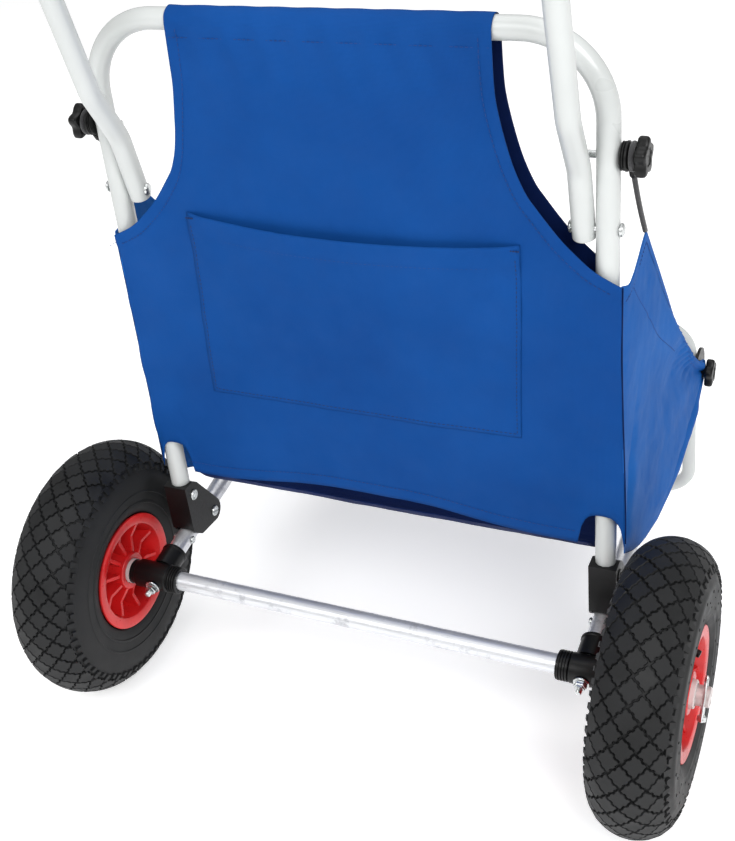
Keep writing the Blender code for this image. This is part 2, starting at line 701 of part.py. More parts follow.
def bag(root):
    """The bag's bottom, front and two side gussets, which hang on the lower frame."""
    floor = [(0.080, 0.207), (0.099, 0.187), (0.125, 0.171), (0.151, 0.160), (0.200, 0.146)]
    floor += [(0.251, 0.138), (0.304, 0.136), (0.350, 0.143), (0.388, 0.157)]
    sheet = plate("bag_bottom", band(floor, CLOTH_T), -0.2285, 0.2285, root, BLUE)
    for name, side in SIDES:
        corner = [(0.06, 0.10), (0.222, 0.10), (0.222, 0.25), (0.06, 0.25)]
        faces = sorted((side * 0.2040, side * 0.25))
        combine(sheet, plate(f"tube_hole_{name}", corner, *faces, root, None))
    front = [(0.3945, 0.1620), (0.4000, 0.1850), (0.4005, 0.2150), (0.3985, 0.2430)]
    plate("bag_front", band(front, CLOTH_T), -0.2285, 0.2285, root, BLUE)
    edge = [(0.057, 0.226), (0.099, 0.190), (0.151, 0.165), (0.251, 0.142), (0.304, 0.136)]
    edge += [(0.381, 0.155), (0.425, 0.168), (0.432, 0.188), (0.425, 0.207), (0.386, 0.218)]
    edge += [(0.306, 0.288), (0.254, 0.342), (0.185, 0.428), (0.131, 0.493), (0.125, 0.493)]
    edge += [(0.092, 0.475), (0.073, 0.474), (0.057, 0.486)]
    for name, side in SIDES:
        faces = sorted((side * GUSSET_X, side * (GUSSET_X + CLOTH_T)))
        side_cloth = plate(f"bag_gusset_{name}", edge, *faces, root, BLUE)
        drill(side_cloth, (side * 0.20, *LEG_PIVOT), (side * 0.26, *LEG_PIVOT), 0.0045, root)


# ---------------------------------------------------------------- the cart

def build():
    root = pivot("cart", (0, 0, 0), None)
    side_tubes(root)
    axle(root)
    tees(root)
    wheels(root)
    back = pivot("back_fold_axis", (0, *FOLD_PIVOT), root)
    back_frame(back)
    brackets(back, root)
    handle_pivot_bolts(back)
    grip = pivot("handle_axis", (0, *HANDLE_PIVOT), back)
    handle(grip)
    handle_knobs(back)
    elastic_cords(back)
    leg = pivot("leg_axis", (0, *LEG_PIVOT), root)
    leg_loop(leg, root)
    cover(back)
    pocket(back)
    bag(root)


build()
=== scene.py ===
"""Looks of the folding beach cart: smooth tubes, treaded tyres, sewn blue cloth and small hardware."""

import math

import bmesh
import bpy
import numpy as np
from mathutils import Matrix, Vector, noise


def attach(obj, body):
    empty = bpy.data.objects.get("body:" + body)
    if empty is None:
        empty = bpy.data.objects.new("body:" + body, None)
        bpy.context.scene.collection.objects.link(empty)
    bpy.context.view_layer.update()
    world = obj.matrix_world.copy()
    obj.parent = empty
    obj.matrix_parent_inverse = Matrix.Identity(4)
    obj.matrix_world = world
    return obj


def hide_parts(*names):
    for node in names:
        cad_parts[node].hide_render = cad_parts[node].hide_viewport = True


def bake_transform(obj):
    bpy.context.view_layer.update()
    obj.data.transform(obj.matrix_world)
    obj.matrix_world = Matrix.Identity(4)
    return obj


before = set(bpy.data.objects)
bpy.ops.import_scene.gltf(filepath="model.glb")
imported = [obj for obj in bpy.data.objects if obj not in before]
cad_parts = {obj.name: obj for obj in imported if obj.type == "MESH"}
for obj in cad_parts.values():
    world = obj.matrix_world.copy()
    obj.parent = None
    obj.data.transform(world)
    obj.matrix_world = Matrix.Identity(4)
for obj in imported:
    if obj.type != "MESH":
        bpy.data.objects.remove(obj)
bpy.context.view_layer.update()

# Frame sizes. Heights run along the leaning back from its foot, and distances along a side tube.
CENTRE_Y = 0.159821
AXLE_Z = 0.130
TUBE_R = 0.00925
BORE_R = 0.00985
HALF_W = 0.220
HANDLE_X = 0.201
LOOP_R = 0.0075
LOOP_HALF_W = 0.2215
WHEEL_X = 0.282
SIDE_RISE = 7.95
LEAN = 1.61
FOOT_AT = 0.0671
RAIL_HEIGHT = 0.531
CORNER_R = 0.065
SIDES = (("left", -1), ("right", 1))

# Cloth sizes.
COVER_HALF = 0.2340
FRONT_HALF = 0.2085
SLEEVE_HALF = 0.137
CORNER_HEIGHT = 0.3395
CLOTH = 0.0009
POCKET_HALF = 0.1503
POCKET_FOOT = 0.188
BAG_REAR = 0.0555
BAG_LENGTH = 0.3665


def ahead(start, angle, distance):
    """The (y, z) point this far from start, at an angle from straight forward."""
    turn = math.radians(angle)
    return (start[0] + distance * math.cos(turn), start[1] + distance * math.sin(turn))


def side_point(distance, lift=0.0):
    """A point on a side tube's line."""
    return ahead(ahead(AXLE, SIDE_RISE, distance), SIDE_RISE + 90, lift)


def back_point(height, depth=0.0):
    """A point on the uprights' line, or this far behind it."""
    return ahead(ahead(side_point(FOOT_AT), 90 - LEAN, height), 180 - LEAN, depth)


AXLE = (-CENTRE_Y, AXLE_Z)
FOLD = side_point(0.098)
BRACKET_BOLT = back_point(0.047)
PIVOT = back_point(0.381)
LOCK = back_point(0.440)
LEG = side_point(0.42095)
LOOP_FOOT = ahead(LEG, SIDE_RISE - 90, (LEG[1] - LOOP_R) / math.cos(math.radians(SIDE_RISE)))

# ---------------------------------------------------------------- camera

def set_camera():
    """A camera behind and above the cart's right side, a little rolled."""
    yaw, pitch, roll = math.radians(27.312), math.radians(33.574), math.radians(-7.117)
    out = Vector((-math.sin(yaw) * math.cos(pitch), math.cos(yaw) * math.cos(pitch), -math.sin(pitch)))
    right = Vector((math.cos(yaw), math.sin(yaw), 0))
    up = right.cross(out)
    across = math.cos(roll) * right + math.sin(roll) * up
    upward = -math.sin(roll) * right + math.cos(roll) * up
    data = bpy.data.cameras.new("camera")
    data.lens = 63.42
    data.sensor_width = 36
    data.sensor_fit = "HORIZONTAL"
    camera = bpy.data.objects.new("camera", data)
    bpy.context.scene.collection.objects.link(camera)
    turn = Matrix((across, upward, -out)).transposed().to_4x4()
    camera.matrix_world = Matrix.Translation((0.4489, -0.7991 - CENTRE_Y, 0.961)) @ turn
    bpy.context.scene.camera = camera


set_camera()

# ---------------------------------------------------------------- materials

def shader(name, color, rough, metal=0.0, **sockets):
    mat = bpy.data.materials.new(name)
    mat.use_nodes = True
    bsdf = mat.node_tree.nodes["Principled BSDF"]
    bsdf.inputs["Base Color"].default_value = (*color, 1)
    bsdf.inputs["Roughness"].default_value = rough
    bsdf.inputs["Metallic"].default_value = metal
    for key, value in sockets.items():
        bsdf.inputs[key.replace("_", " ")].default_value = value
    return mat


def node(mat, kind, **settings):
    made = mat.node_tree.nodes.new("ShaderNode" + kind)
    for key, value in settings.items():
        if key in made.inputs:
            made.inputs[key].default_value = value
        elif key.replace("_", " ") in made.inputs:
            made.inputs[key.replace("_", " ")].default_value = value
        else:
            setattr(made, key, value)
    return made


def wire(mat, start, end):
    mat.node_tree.links.new(start, end)


def coords(mat, stretch=(1, 1, 1), output="Object"):
    source = node(mat, "TexCoord")
    mapping = node(mat, "Mapping")
    mapping.inputs["Scale"].default_value = stretch
    wire(mat, source.outputs[output], mapping.inputs["Vector"])
    return mapping.outputs["Vector"]


def noise_value(mat, vector, scale, detail=4.0, rough=0.55):
    tex = node(mat, "TexNoise", Scale=scale, Detail=detail, Roughness=rough)
    wire(mat, vector, tex.inputs["Vector"])
    return tex.outputs["Fac"]


def ramp(mat, value, stops):
    made = node(mat, "ValToRGB")
    points = made.color_ramp.elements
    while len(points) < len(stops):
        points.new(0.5)
    for point, (at, color) in zip(points, stops):
        point.position = at
        point.color = (*color, 1) if len(color) == 3 else color
    wire(mat, value, made.inputs["Fac"])
    return made.outputs["Color"]


def level(mat, value, low, high, new_low, new_high):
    made = node(mat, "MapRange")
    for key, number in zip(("From Min", "From Max", "To Min", "To Max"), (low, high, new_low, new_high)):
        made.inputs[key].default_value = number
    wire(mat, value, made.inputs["Value"])
    return made.outputs["Result"]


def mix(mat, factor, first, second, mode="MIX"):
    made = node(mat, "Mix", data_type="RGBA", blend_type=mode)
    for socket, value in ((made.inputs[0], factor), (made.inputs[6], first), (made.inputs[7], second)):
        if isinstance(value, bpy.types.NodeSocket):
            wire(mat, value, socket)
        elif isinstance(value, tuple):
            socket.default_value = (*value, 1)
        else:
            socket.default_value = value
    return made.outputs[2]


def bump(mat, height, strength, distance, under=None):
    made = node(mat, "Bump", Strength=strength, Distance=distance)
    wire(mat, height, made.inputs["Height"])
    if under is not None:
        wire(mat, under, made.inputs["Normal"])
    return made.outputs["Normal"]


def finish(mat, color=None, rough=None, normal=None):
    bsdf = mat.node_tree.nodes["Principled BSDF"]
    for key, socket in (("Base Color", color), ("Roughness", rough), ("Normal", normal)):
        if socket is not None:
            wire(mat, socket, bsdf.inputs[key])
    return mat


def enamel():
    mat = shader("satin_white_enamel", (0.55, 0.568, 0.559), 0.34, Coat_Weight=0.3, Coat_Roughness=0.15)
    at = coords(mat)
    broad = noise_value(mat, at, 9.0, 3)
    fine = noise_value(mat, at, 900.0, 2)
    color = ramp(mat, broad, [(0.3, (0.527, 0.547, 0.539)), (0.7, (0.575, 0.596, 0.588))])
    specks = ramp(mat, noise_value(mat, at, 160.0, 5, 0.7), [(0.70, (1, 1, 1)), (0.76, (0.80, 0.79, 0.77))])
    color = mix(mat, 1.0, color, specks, "MULTIPLY")
    return finish(mat, color, level(mat, broad, 0.3, 0.7, 0.26, 0.38), bump(mat, fine, 0.05, 0.0003))


def aluminium():
    mat = shader("scuffed_aluminium", (0.74, 0.75, 0.77), 0.4, 0.75)
    at = coords(mat)
    lines = noise_value(mat, coords(mat, (14, 900, 900)), 1.0, 3)
    patches = noise_value(mat, at, 46.0, 6, 0.7)
    tone = ramp(mat, lines, [(0.3, (0.64, 0.65, 0.68)), (0.7, (0.80, 0.81, 0.83))])
    marks = ramp(mat, patches, [(0.56, (1, 1, 1)), (0.66, (0.72, 0.72, 0.73)), (0.74, (0.48, 0.48, 0.49))])
    color = mix(mat, 0.85, tone, marks, "MULTIPLY")
    rough = level(mat, patches, 0.35, 0.7, 0.3, 0.6)
    return finish(mat, color, rough, bump(mat, lines, 0.12, 0.0003))


def plated():
    mat = shader("zinc_plate", (0.66, 0.68, 0.69), 0.26, 1.0)
    at = coords(mat)
    patches = noise_value(mat, at, 130.0, 4)
    color = ramp(mat, patches, [(0.35, (0.50, 0.53, 0.52)), (0.65, (0.78, 0.79, 0.80))])
    return finish(mat, color, level(mat, patches, 0.3, 0.7, 0.2, 0.42), bump(mat, patches, 0.08, 0.0003))


def moulded(name, color, low, high, grain=420.0, strength=0.18, **sockets):
    mat = shader(name, color, low, **sockets)
    at = coords(mat)
    fine = noise_value(mat, at, grain, 3, 0.6)
    broad = noise_value(mat, at, 22.0, 3)
    dark = tuple(part * 0.78 for part in color)
    light = tuple(min(1.0, part * 1.18 + 0.002) for part in color)
    tone = ramp(mat, broad, [(0.32, dark), (0.68, light)])
    return finish(mat, tone, level(mat, fine, 0.3, 0.7, low, high), bump(mat, fine, strength, 0.0004))


def tyre_rubber():
    mat = shader("tyre_rubber", (0.03, 0.03, 0.032), 0.62, Specular_IOR_Level=0.30)
    at = coords(mat)
    dust = noise_value(mat, at, 34.0, 6, 0.65)
    fine = noise_value(mat, at, 700.0, 3)
    tone = ramp(mat, dust, [(0.38, (0.0060, 0.0063, 0.0067)), (0.62, (0.0125, 0.0130, 0.0138))])
    return finish(mat, tone, level(mat, dust, 0.3, 0.7, 0.5, 0.74), bump(mat, fine, 0.25, 0.0004))


WEAVE_PITCH = 0.0009


def cloth(name, dark, base, light, sheen):
    """A plain weave; the UV map is in metres."""
    mat = shader(name, base, 0.72, Sheen_Weight=sheen, Sheen_Roughness=0.45, Specular_IOR_Level=0.10)
    mat.node_tree.nodes["Principled BSDF"].inputs["Sheen Tint"].default_value = (*light, 1)
    at = coords(mat, (1, 1, 1), "UV")
    waves = []
    for direction in ("X", "Y"):
        wave = node(mat, "TexWave", bands_direction=direction, Scale=0.314 / WEAVE_PITCH, Distortion=0.6)
        wave.inputs["Detail"].default_value = 1.0
        wire(mat, at, wave.inputs["Vector"])
        waves.append(wave.outputs["Fac"])
    weave = mix(mat, 0.5, waves[0], waves[1])
    world = coords(mat)
    broad = noise_value(mat, world, 7.0, 4)
    slub = noise_value(mat, coords(mat, (500, 900, 1), "UV"), 1.0, 2)
    creases = noise_value(mat, world, 38.0, 6, 0.62)
    tone = ramp(mat, broad, [(0.33, dark), (0.52, base), (0.70, light)])
    threads = ramp(mat, weave, [(0.25, (0.88, 0.88, 0.88)), (0.75, (1.05, 1.05, 1.05))])
    tone = mix(mat, 1.0, tone, threads, "MULTIPLY")
    soft = bump(mat, creases, 0.16, 0.004)
    slubs = bump(mat, slub, 0.10, 0.0005, soft)
    rough = level(mat, creases, 0.3, 0.7, 0.62, 0.82)
    return finish(mat, tone, rough, bump(mat, weave, 0.35, 0.0004, slubs))


def braid():
    mat = shader("black_braid", (0.012, 0.012, 0.014), 0.8, Sheen_Weight=0.3)
    wave = node(mat, "TexWave", Scale=420.0, Distortion=3.0, bands_direction="DIAGONAL")
    wire(mat, coords(mat), wave.inputs["Vector"])
    tone = ramp(mat, wave.outputs["Fac"], [(0.2, (0.006, 0.006, 0.007)), (0.8, (0.030, 0.030, 0.034))])
    return finish(mat, tone, None, bump(mat, wave.outputs["Fac"], 0.6, 0.0004))


WHITE = enamel()
BARE = aluminium()
ZINC = plated()
BLACK = moulded("black_moulding", (0.0045, 0.0047, 0.0049), 0.30, 0.46, Specular_IOR_Level=0.25)
RED = moulded("red_moulding", (0.60, 0.011, 0.012), 0.26, 0.40, 300.0, 0.08)
PALE = moulded("pale_nylon", (0.62, 0.55, 0.54), 0.38, 0.55)
PALE_METAL = moulded("dull_plated_steel", (0.60, 0.55, 0.54), 0.36, 0.5, 200.0, 0.1, Metallic=0.55)
DARK = moulded("dark_bore", (0.030, 0.030, 0.032), 0.7, 0.85)
RUBBER = tyre_rubber()
BLUE = cloth("royal_blue_cloth", (0.0026, 0.050, 0.226), (0.0032, 0.058, 0.252), (0.0044, 0.066, 0.280), 0.03)
# Painted light: a lighter copy of the blue cloth, standing in for the light that falls on the bag's sides
# from the right; the bag's front uses it too.
SIDE_BLUE_PAINTED_LIGHT = cloth("side_blue_cloth_painted_light", (0.006, 0.088, 0.345), (0.009, 0.106, 0.395), (0.013, 0.124, 0.440), 0.0)
NAVY = cloth("navy_lining", (0.002, 0.010, 0.060), (0.003, 0.014, 0.085), (0.004, 0.020, 0.11), 0.3)
THREAD = moulded("blue_thread", (0.003, 0.034, 0.18), 0.7, 0.85)
DARK_THREAD = moulded("navy_thread", (0.003, 0.012, 0.07), 0.7, 0.85)
BRAID = braid()

# ---------------------------------------------------------------- mesh helpers

def piece(name, mesh, mat, body=None, sharp=35, stands_for=()):
    obj = bpy.data.objects.new(name, mesh)
    bpy.context.scene.collection.objects.link(obj)
    mats = mat if isinstance(mat, (list, tuple)) else [mat]
    for one in mats:
        mesh.materials.append(one)
    mesh.shade_smooth()
    if sharp:
        mesh.set_sharp_from_angle(angle=math.radians(sharp))
    if body:
        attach(obj, body)
    if stands_for:
        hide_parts(*stands_for)
    return obj


def build_mesh(name, verts, faces, face_mats=None, uv=None, outward=True):
    mesh = bpy.data.meshes.new(name)
    mesh.from_pydata([tuple(v) for v in verts], [], [tuple(f) for f in faces])
    if face_mats is not None:
        mesh.polygons.foreach_set("material_index", face_mats)
    if uv is not None:
        layer = mesh.uv_layers.new(name="UVMap")
        corners = np.empty(len(mesh.loops), np.int32)
        mesh.loops.foreach_get("vertex_index", corners)
        layer.data.foreach_set("uv", np.asarray(uv, np.float32)[corners].ravel())
    if outward:
        work = bmesh.new()
        work.from_mesh(mesh)
        bmesh.ops.recalc_face_normals(work, faces=work.faces)
        work.to_mesh(mesh)
        work.free()
    mesh.update()
    return mesh


def ring_faces(count, sides, first=0, wrap=False):
    faces = []
    for i in range(count if wrap else count - 1):
        a, b = first + i * sides, first + ((i + 1) % count) * sides
        for j in range(sides):
            k = (j + 1) % sides
            faces.append((a + j, b + j, b + k, a + k))
    return faces


def rings_mesh(name, rings, wrap=False):
    sides = len(rings[0])
    verts = [v for ring in rings for v in ring]
    faces = ring_faces(len(rings), sides, wrap=wrap)
    if not wrap:
        faces.append(tuple(range(sides))[::-1])
        faces.append(tuple(range(len(verts) - sides, len(verts))))
    return build_mesh(name, verts, faces)


def soften(obj, width, segments=2, angle=50):
    """A small round on the sharp edges."""
    edge = obj.modifiers.new("edge", "BEVEL")
    edge.width = width
    edge.segments = segments
    edge.limit_method = "ANGLE"
    edge.angle_limit = math.radians(angle)


def frame_of(axis):
    return Vector((0, 0, 1)).rotation_difference(Vector(axis).normalized()).to_matrix()


def lathe(name, profile, at, axis, sides=40, wrap=False):
    """Rings round an axis from (radius, height) points."""
    turn, rings = frame_of(axis), []
    for radius, height in profile:
        radius = max(radius, 0.00002)
        ring = []
        for i in range(sides):
            angle = math.tau * i / sides
            spot = Vector((radius * math.cos(angle), radius * math.sin(angle), height))
            ring.append(Vector(at) + turn @ spot)
        rings.append(ring)
    return rings_mesh(name, rings, wrap)


def turned(name, profile, at, axis, mat, body, stands_for=(), sides=28, wrap=False, sharp=35):
    """A turned piece: a profile of (radius, height) points spun round its axis."""
    return piece(name, lathe(name, profile, at, axis, sides, wrap), mat, body, sharp, stands_for)


def round_path(points, radius, count=18):
    """A polyline with its corners rounded into arcs."""
    points = [Vector(point) for point in points]
    path = [points[0]]
    for before, corner, after in zip(points, points[1:], points[2:]):
        back, on = (before - corner).normalized(), (after - corner).normalized()
        half = back.angle(on) / 2
        middle = corner + (back + on).normalized() * (radius / math.sin(half))
        reach = radius / math.tan(half)
        first, last = [(corner + way * reach - middle).normalized() for way in (back, on)]
        path += [middle + first.slerp(last, i / count) * radius for i in range(count + 1)]
    return path + [points[-1]]


def tube_rings(path, radius, sides=36, wall=0.0015, deep=0.03):
    """Rings of a tube; each end turns over a thin lip and goes a little way in."""
    path = [Vector(point) for point in path]
    tangents = []
    for i in range(len(path)):
        tangents.append((path[min(i + 1, len(path) - 1)] - path[max(i - 1, 0)]).normalized())
    side = tangents[0].orthogonal().normalized()
    rings, frames = [], []
    for i, tangent in enumerate(tangents):
        if i:
            side = tangents[i - 1].rotation_difference(tangent) @ side
        frames.append((side.copy(), tangent.cross(side)))

    def ring(i, r, shift=0.0):
        a, b = frames[i]
        middle = path[i] + tangents[i] * shift
        return [middle + r * (math.cos(math.tau * k / sides) * a + math.sin(math.tau * k / sides) * b)
                for k in range(sides)]

    last = len(path) - 1
    if wall:
        rings += [ring(0, radius - wall, deep), ring(0, radius - wall, 0.0003), ring(0, radius - wall * 0.75)]
        rings += [ring(0, radius - wall * 0.25), ring(0, radius, 0.0003)]
        rings += [ring(i, radius) for i in range(1, last)]
        rings += [ring(last, radius, -0.0003), ring(last, radius - wall * 0.25)]
        rings += [ring(last, radius - wall * 0.75), ring(last, radius - wall, -0.0003)]
        rings += [ring(last, radius - wall, -deep)]
    else:
        rings += [ring(0, radius * 0.7), ring(0, radius, 0.0004)] if last else []
        rings += [ring(i, radius) for i in range(1, last)]
        rings += [ring(last, radius, -0.0004), ring(last, radius * 0.7)]
    return rings


def tube(name, path, radius, mat, body, stands_for=(), sides=36, wall=0.0015, deep=0.03):
    """A tube along a path, with open ends that are dark inside."""
    mesh = rings_mesh(name, tube_rings(path, radius, sides, wall, deep))
    obj = piece(name, mesh, [mat, DARK], body, 40, stands_for)
    if wall:
        last = (len(mesh.polygons) - 2) // sides - 1
        rows = [i // sides for i in range(len(mesh.polygons) - 2)]
        mesh.polygons.foreach_set("material_index", [int(row in (0, last)) for row in rows] + [1, 1])
    return obj


def joined(name, meshes):
    """One mesh from several."""
    work = bmesh.new()
    for mesh in meshes:
        work.from_mesh(mesh)
    made = bpy.data.meshes.new(name)
    work.to_mesh(made)
    work.free()
    return made


# ---------------------------------------------------------------- frame tubes

def frame_tubes():
    """The back's tube, the handle, the leg loop, the two side tubes and the axle tube."""
    foot, rail = back_point(0.020), back_point(RAIL_HEIGHT)
    corners = [(-HALF_W, *foot), (-HALF_W, *rail), (HALF_W, *rail), (HALF_W, *foot)]
    path = round_path(corners, CORNER_R)
    tube("back_frame_tube", path, TUBE_R, WHITE, "back_frame", ["back_frame"])
    bend = (0.041 - CENTRE_Y, 0.618)
    top = ahead(bend, 104.0, (1.030 - 0.618) / math.cos(math.radians(14.0)))
    leg = [ahead(PIVOT, 101.5, -0.0090), ahead(PIVOT, 101.5, 0.053), bend, top]
    corners = [(-HANDLE_X, *point) for point in leg] + [(HANDLE_X, *point) for point in leg[::-1]]
    path = round_path(corners[:4], 0.045, 8)[:-1] + round_path(corners[2:6], CORNER_R)[1:-1]
    path += round_path(corners[4:], 0.045, 8)[1:]
    tube("handle_tube", path, TUBE_R, WHITE, "handle", ["handle"])
    up, x, gap = ahead(LEG, 90 + SIDE_RISE, 0.057), LOOP_HALF_W, 0.0002
    corners = [(-gap, *LOOP_FOOT), (-x, *LOOP_FOOT), (-x, *up), (x, *up), (x, *LOOP_FOOT), (gap, *LOOP_FOOT)]
    path = round_path(corners, 0.034, 12)
    tube("leg_loop_tube", path, LOOP_R, WHITE, "leg_loop", ["leg_loop"], deep=0.01)
    for name, side in SIDES:
        ends = [(side * HALF_W, *side_point(at)) for at in (0.0108, 0.18, 0.35)]
        tube(f"side_tube_{name}", ends, TUBE_R, BARE, "lower_frame", [f"lower_tube_{name}"])
    ends = [(x, *AXLE) for x in (-0.2395, -0.1, 0.1, 0.2395)]
    tube("axle_tube_smooth", ends, TUBE_R, BARE, "lower_frame", ["axle_tube"])


frame_tubes()

# ---------------------------------------------------------------- tees and brackets

def union(name, meshes, mat, body, stands_for):
    """Meshes joined by Booleans into one skin."""
    first = piece(name, meshes[0], mat, None, 35)
    for i, mesh in enumerate(meshes[1:]):
        other = bpy.data.objects.new(f"{name}_join_{i}", mesh)
        bpy.context.scene.collection.objects.link(other)
        step = first.modifiers.new("join", "BOOLEAN")
        step.operation = "UNION"
        step.object = other
        graph = bpy.context.evaluated_depsgraph_get()
        made = bpy.data.meshes.new_from_object(first.evaluated_get(graph))
        first.modifiers.clear()
        first.data = made
        bpy.data.objects.remove(other)
    first.data.shade_smooth()
    first.data.set_sharp_from_angle(angle=math.radians(35))
    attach(first, body)
    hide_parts(*stands_for)


def tees():
    """The moulded tees on the axle with their ribbed collars and cross bolts."""
    tangent = Vector((0, *ahead((0, 0), SIDE_RISE, 1)))
    for name, side in SIDES:
        x = side * HALF_W
        barrel = [(BORE_R, 0), (0.0128, 0), (0.0140, 0.0012), (0.0140, 0.0350), (0.0130, 0.0365)]
        barrel += [(BORE_R, 0.0365)]
        body = lathe("barrel", barrel, (side * 0.2065, *AXLE), (side, 0, 0), 48, True)
        socket = [(BORE_R, 0.0102), (0.0124, 0.0102), (0.0124, 0.0300), (0.0132, 0.0308)]
        socket += [(0.0132, 0.0330), (0.0124, 0.0338), (BORE_R, 0.0338)]
        arm = lathe("arm", socket, (x, *AXLE), tangent, 48, True)
        union(f"tee_fitting_{name}", [body, arm], BLACK, "lower_frame", [f"tee_{name}"])
        grooves = [(BORE_R, 0.0112), (0.0132, 0.0112)]
        for i in range(4):
            top = 0.0108 - i * 0.0026
            grooves += [(0.0138, top), (0.0138, top - 0.0013), (0.0126, top - 0.0016), (0.0126, top - 0.0022)]
        grooves += [(0.0134, 0.0004), (0.0128, 0.0), (BORE_R, 0.0)]
        turned(f"tee_ring_{name}", grooves, (side * 0.1950, *AXLE), (side, 0, 0), BLACK, "lower_frame",
               [f"tee_collar_{name}"], 48, True, 30)
        rear = -tangent
        threads = [(0.0, 0.0265), (0.0022, 0.0262)]
        for i in range(7):
            threads += [(0.0030, 0.0252 - i * 0.0007), (0.0026, 0.02485 - i * 0.0007)]
        threads += [(0.0030, 0.0195), (0.0030, -0.0086), (0, -0.0086)]
        turned(f"tee_cross_bolt_{name}", threads, (x, *AXLE), rear, ZINC, "lower_frame",
               [f"tee_bolt_{name}"], 20, False, 30)
        nut = [(0.0034, 0.0158), (0.0054, 0.0158), (0.0058, 0.0162), (0.0058, 0.0192), (0.0054, 0.0196)]
        nut += [(0.0046, 0.0198), (0.0045, 0.0213), (0.0034, 0.0215)]
        hexagon = lathe("nut", nut, (x, *AXLE), rear, 6, True)
        washer = [(0.0034, 0.0143), (0.0072, 0.0143), (0.0074, 0.0146), (0.0074, 0.0152)]
        washer += [(0.0072, 0.0155), (0.0034, 0.0155)]
        disc = lathe("washer", washer, (x, *AXLE), rear, 32, True)
        piece(f"tee_lock_nut_{name}", joined("nut", [hexagon, disc]), ZINC, "lower_frame", 30,
              [f"tee_nut_{name}"])


def slotted(name, centre, at_x, side, radius, height, slot_turn, length, body, stands_for):
    """A bolt on X with a low slotted head facing the middle of the cart."""
    facing = -side
    base = (at_x, *centre)
    head = [(0, height * 0.55), (radius * 0.55, height), (radius * 0.9, height * 0.85)]
    head += [(radius, height * 0.45), (radius, 0.0), (0.0029, 0.0), (0.0029, -length), (0, -length)]
    mesh = lathe("head", head, base, (facing, 0, 0), 28)
    obj = piece(name, mesh, ZINC, None, 35)
    cutter = bpy.data.meshes.new("slot")
    work = bmesh.new()
    bmesh.ops.create_cube(work, size=1.0)
    spin = Matrix.Rotation(math.radians(slot_turn), 4, "X")
    size = Matrix.Diagonal((height * 1.1, radius * 3, radius * 0.26, 1))
    place = Matrix.Translation((at_x + facing * height, *centre))
    bmesh.ops.transform(work, matrix=place @ spin @ size, verts=work.verts)
    work.to_mesh(cutter)
    work.free()
    tool = bpy.data.objects.new("slot", cutter)
    bpy.context.scene.collection.objects.link(tool)
    cut = obj.modifiers.new("slot", "BOOLEAN")
    cut.object = tool
    graph = bpy.context.evaluated_depsgraph_get()
    obj.data = bpy.data.meshes.new_from_object(obj.evaluated_get(graph))
    obj.modifiers.clear()
    bpy.data.objects.remove(tool)
    obj.data.set_sharp_from_angle(angle=math.radians(35))
    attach(obj, body)
    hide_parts(*stands_for)


def brackets():
    """The hinge brackets' finish, their two bolts and bosses, and the side tubes' screws."""
    for name, side in SIDES:
        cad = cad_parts[f"hinge_bracket_{name}"]
        repaint(cad, BLACK)
        soften(cad, 0.0012, 3)
        inner = side * 0.2073
        slotted(f"bracket_bolt_head_{name}", BRACKET_BOLT, inner, side, 0.0056, 0.0019, 35, 0.0249,
                "back_frame", [f"bracket_bolt_{name}"])
        slotted(f"fold_bolt_head_{name}", FOLD, inner, side, 0.0056, 0.0019, -20, 0.0249, "lower_frame",
                [f"fold_bolt_{name}"])
        slotted(f"tube_screw_head_{name}", side_point(0.054), side * 0.2104, side, 0.0040, 0.0019, 50, 0.021,
                "lower_frame", [f"lower_tube_screw_{name}"])
        boss = [(0.0034, 0), (0.0062, 0), (0.0062, 0.0004), (0.0058, 0.0007), (0.0034, 0.0007)]
        for kind, centre in (("bracket_boss", BRACKET_BOLT), ("fold_boss", FOLD)):
            turned(f"{kind}_{name}", boss, (side * 0.2326, *centre), (side, 0, 0), BLACK, "back_frame",
                   (), 24, True, 30)


def repaint(obj, mat):
    obj.data.materials.clear()
    obj.data.materials.append(mat)


tees()
brackets()

# ---------------------------------------------------------------- wheels

CROWN_R = 0.094
CROWN_RISE = 0.0331
TYRE_HALF_W = 0.0352
BLOCKS_AROUND = 34
ROW_STEP = math.radians(16.5)
RIB_COUNT = 10
RIB_HALF = 0.0019
PIN_X = 0.3232
PIN_TURN = 60


def tread_point(at, theta, phi, lift):
    """A point over the tyre's crown: theta round the wheel, phi across it, lift out from the carcass."""
    radius = CROWN_R + (CROWN_RISE + lift) * math.cos(phi)
    across = (TYRE_HALF_W + lift) * math.sin(phi)
    return Vector((at[0] + across, at[1] + radius * math.cos(theta), at[2] + radius * math.sin(theta)))


def jagged(corners, step):
    """Each straight side of a block becomes a zig-zag of small square teeth."""
    outline = []
    for start, end in zip(corners, corners[1:] + corners[:1]):
        run = Vector(end) - Vector(start)
        out = Vector((run.y, -run.x)).normalized() * step
        for low, high, sign in ((0.05, 0.25, 1), (0.29, 0.48, -1), (0.52, 0.71, 1), (0.75, 0.95, -1)):
            outline += [Vector(start) + run * low + out * sign, Vector(start) + run * high + out * sign]
    return outline


def add_block(verts, faces, at, outline, top):
    """A raised rubber block: a sunk foot, a wall and a slightly smaller top. Outline in (theta, phi)."""
    middle = sum(outline, Vector((0, 0))) / len(outline)
    first, count = len(verts), len(outline)
    for lift, shrink in ((-0.0008, 1.02), (top - 0.0005, 0.975), (top, 0.93)):
        for point in outline:
            spot = middle + (point - middle) * shrink
            verts.append(tread_point(at, spot.x, spot.y, lift))
    faces.extend(ring_faces(3, count, first))
    faces.append(tuple(range(first + 2 * count, first + 3 * count)))
    faces.append(tuple(range(first, first + count))[::-1])


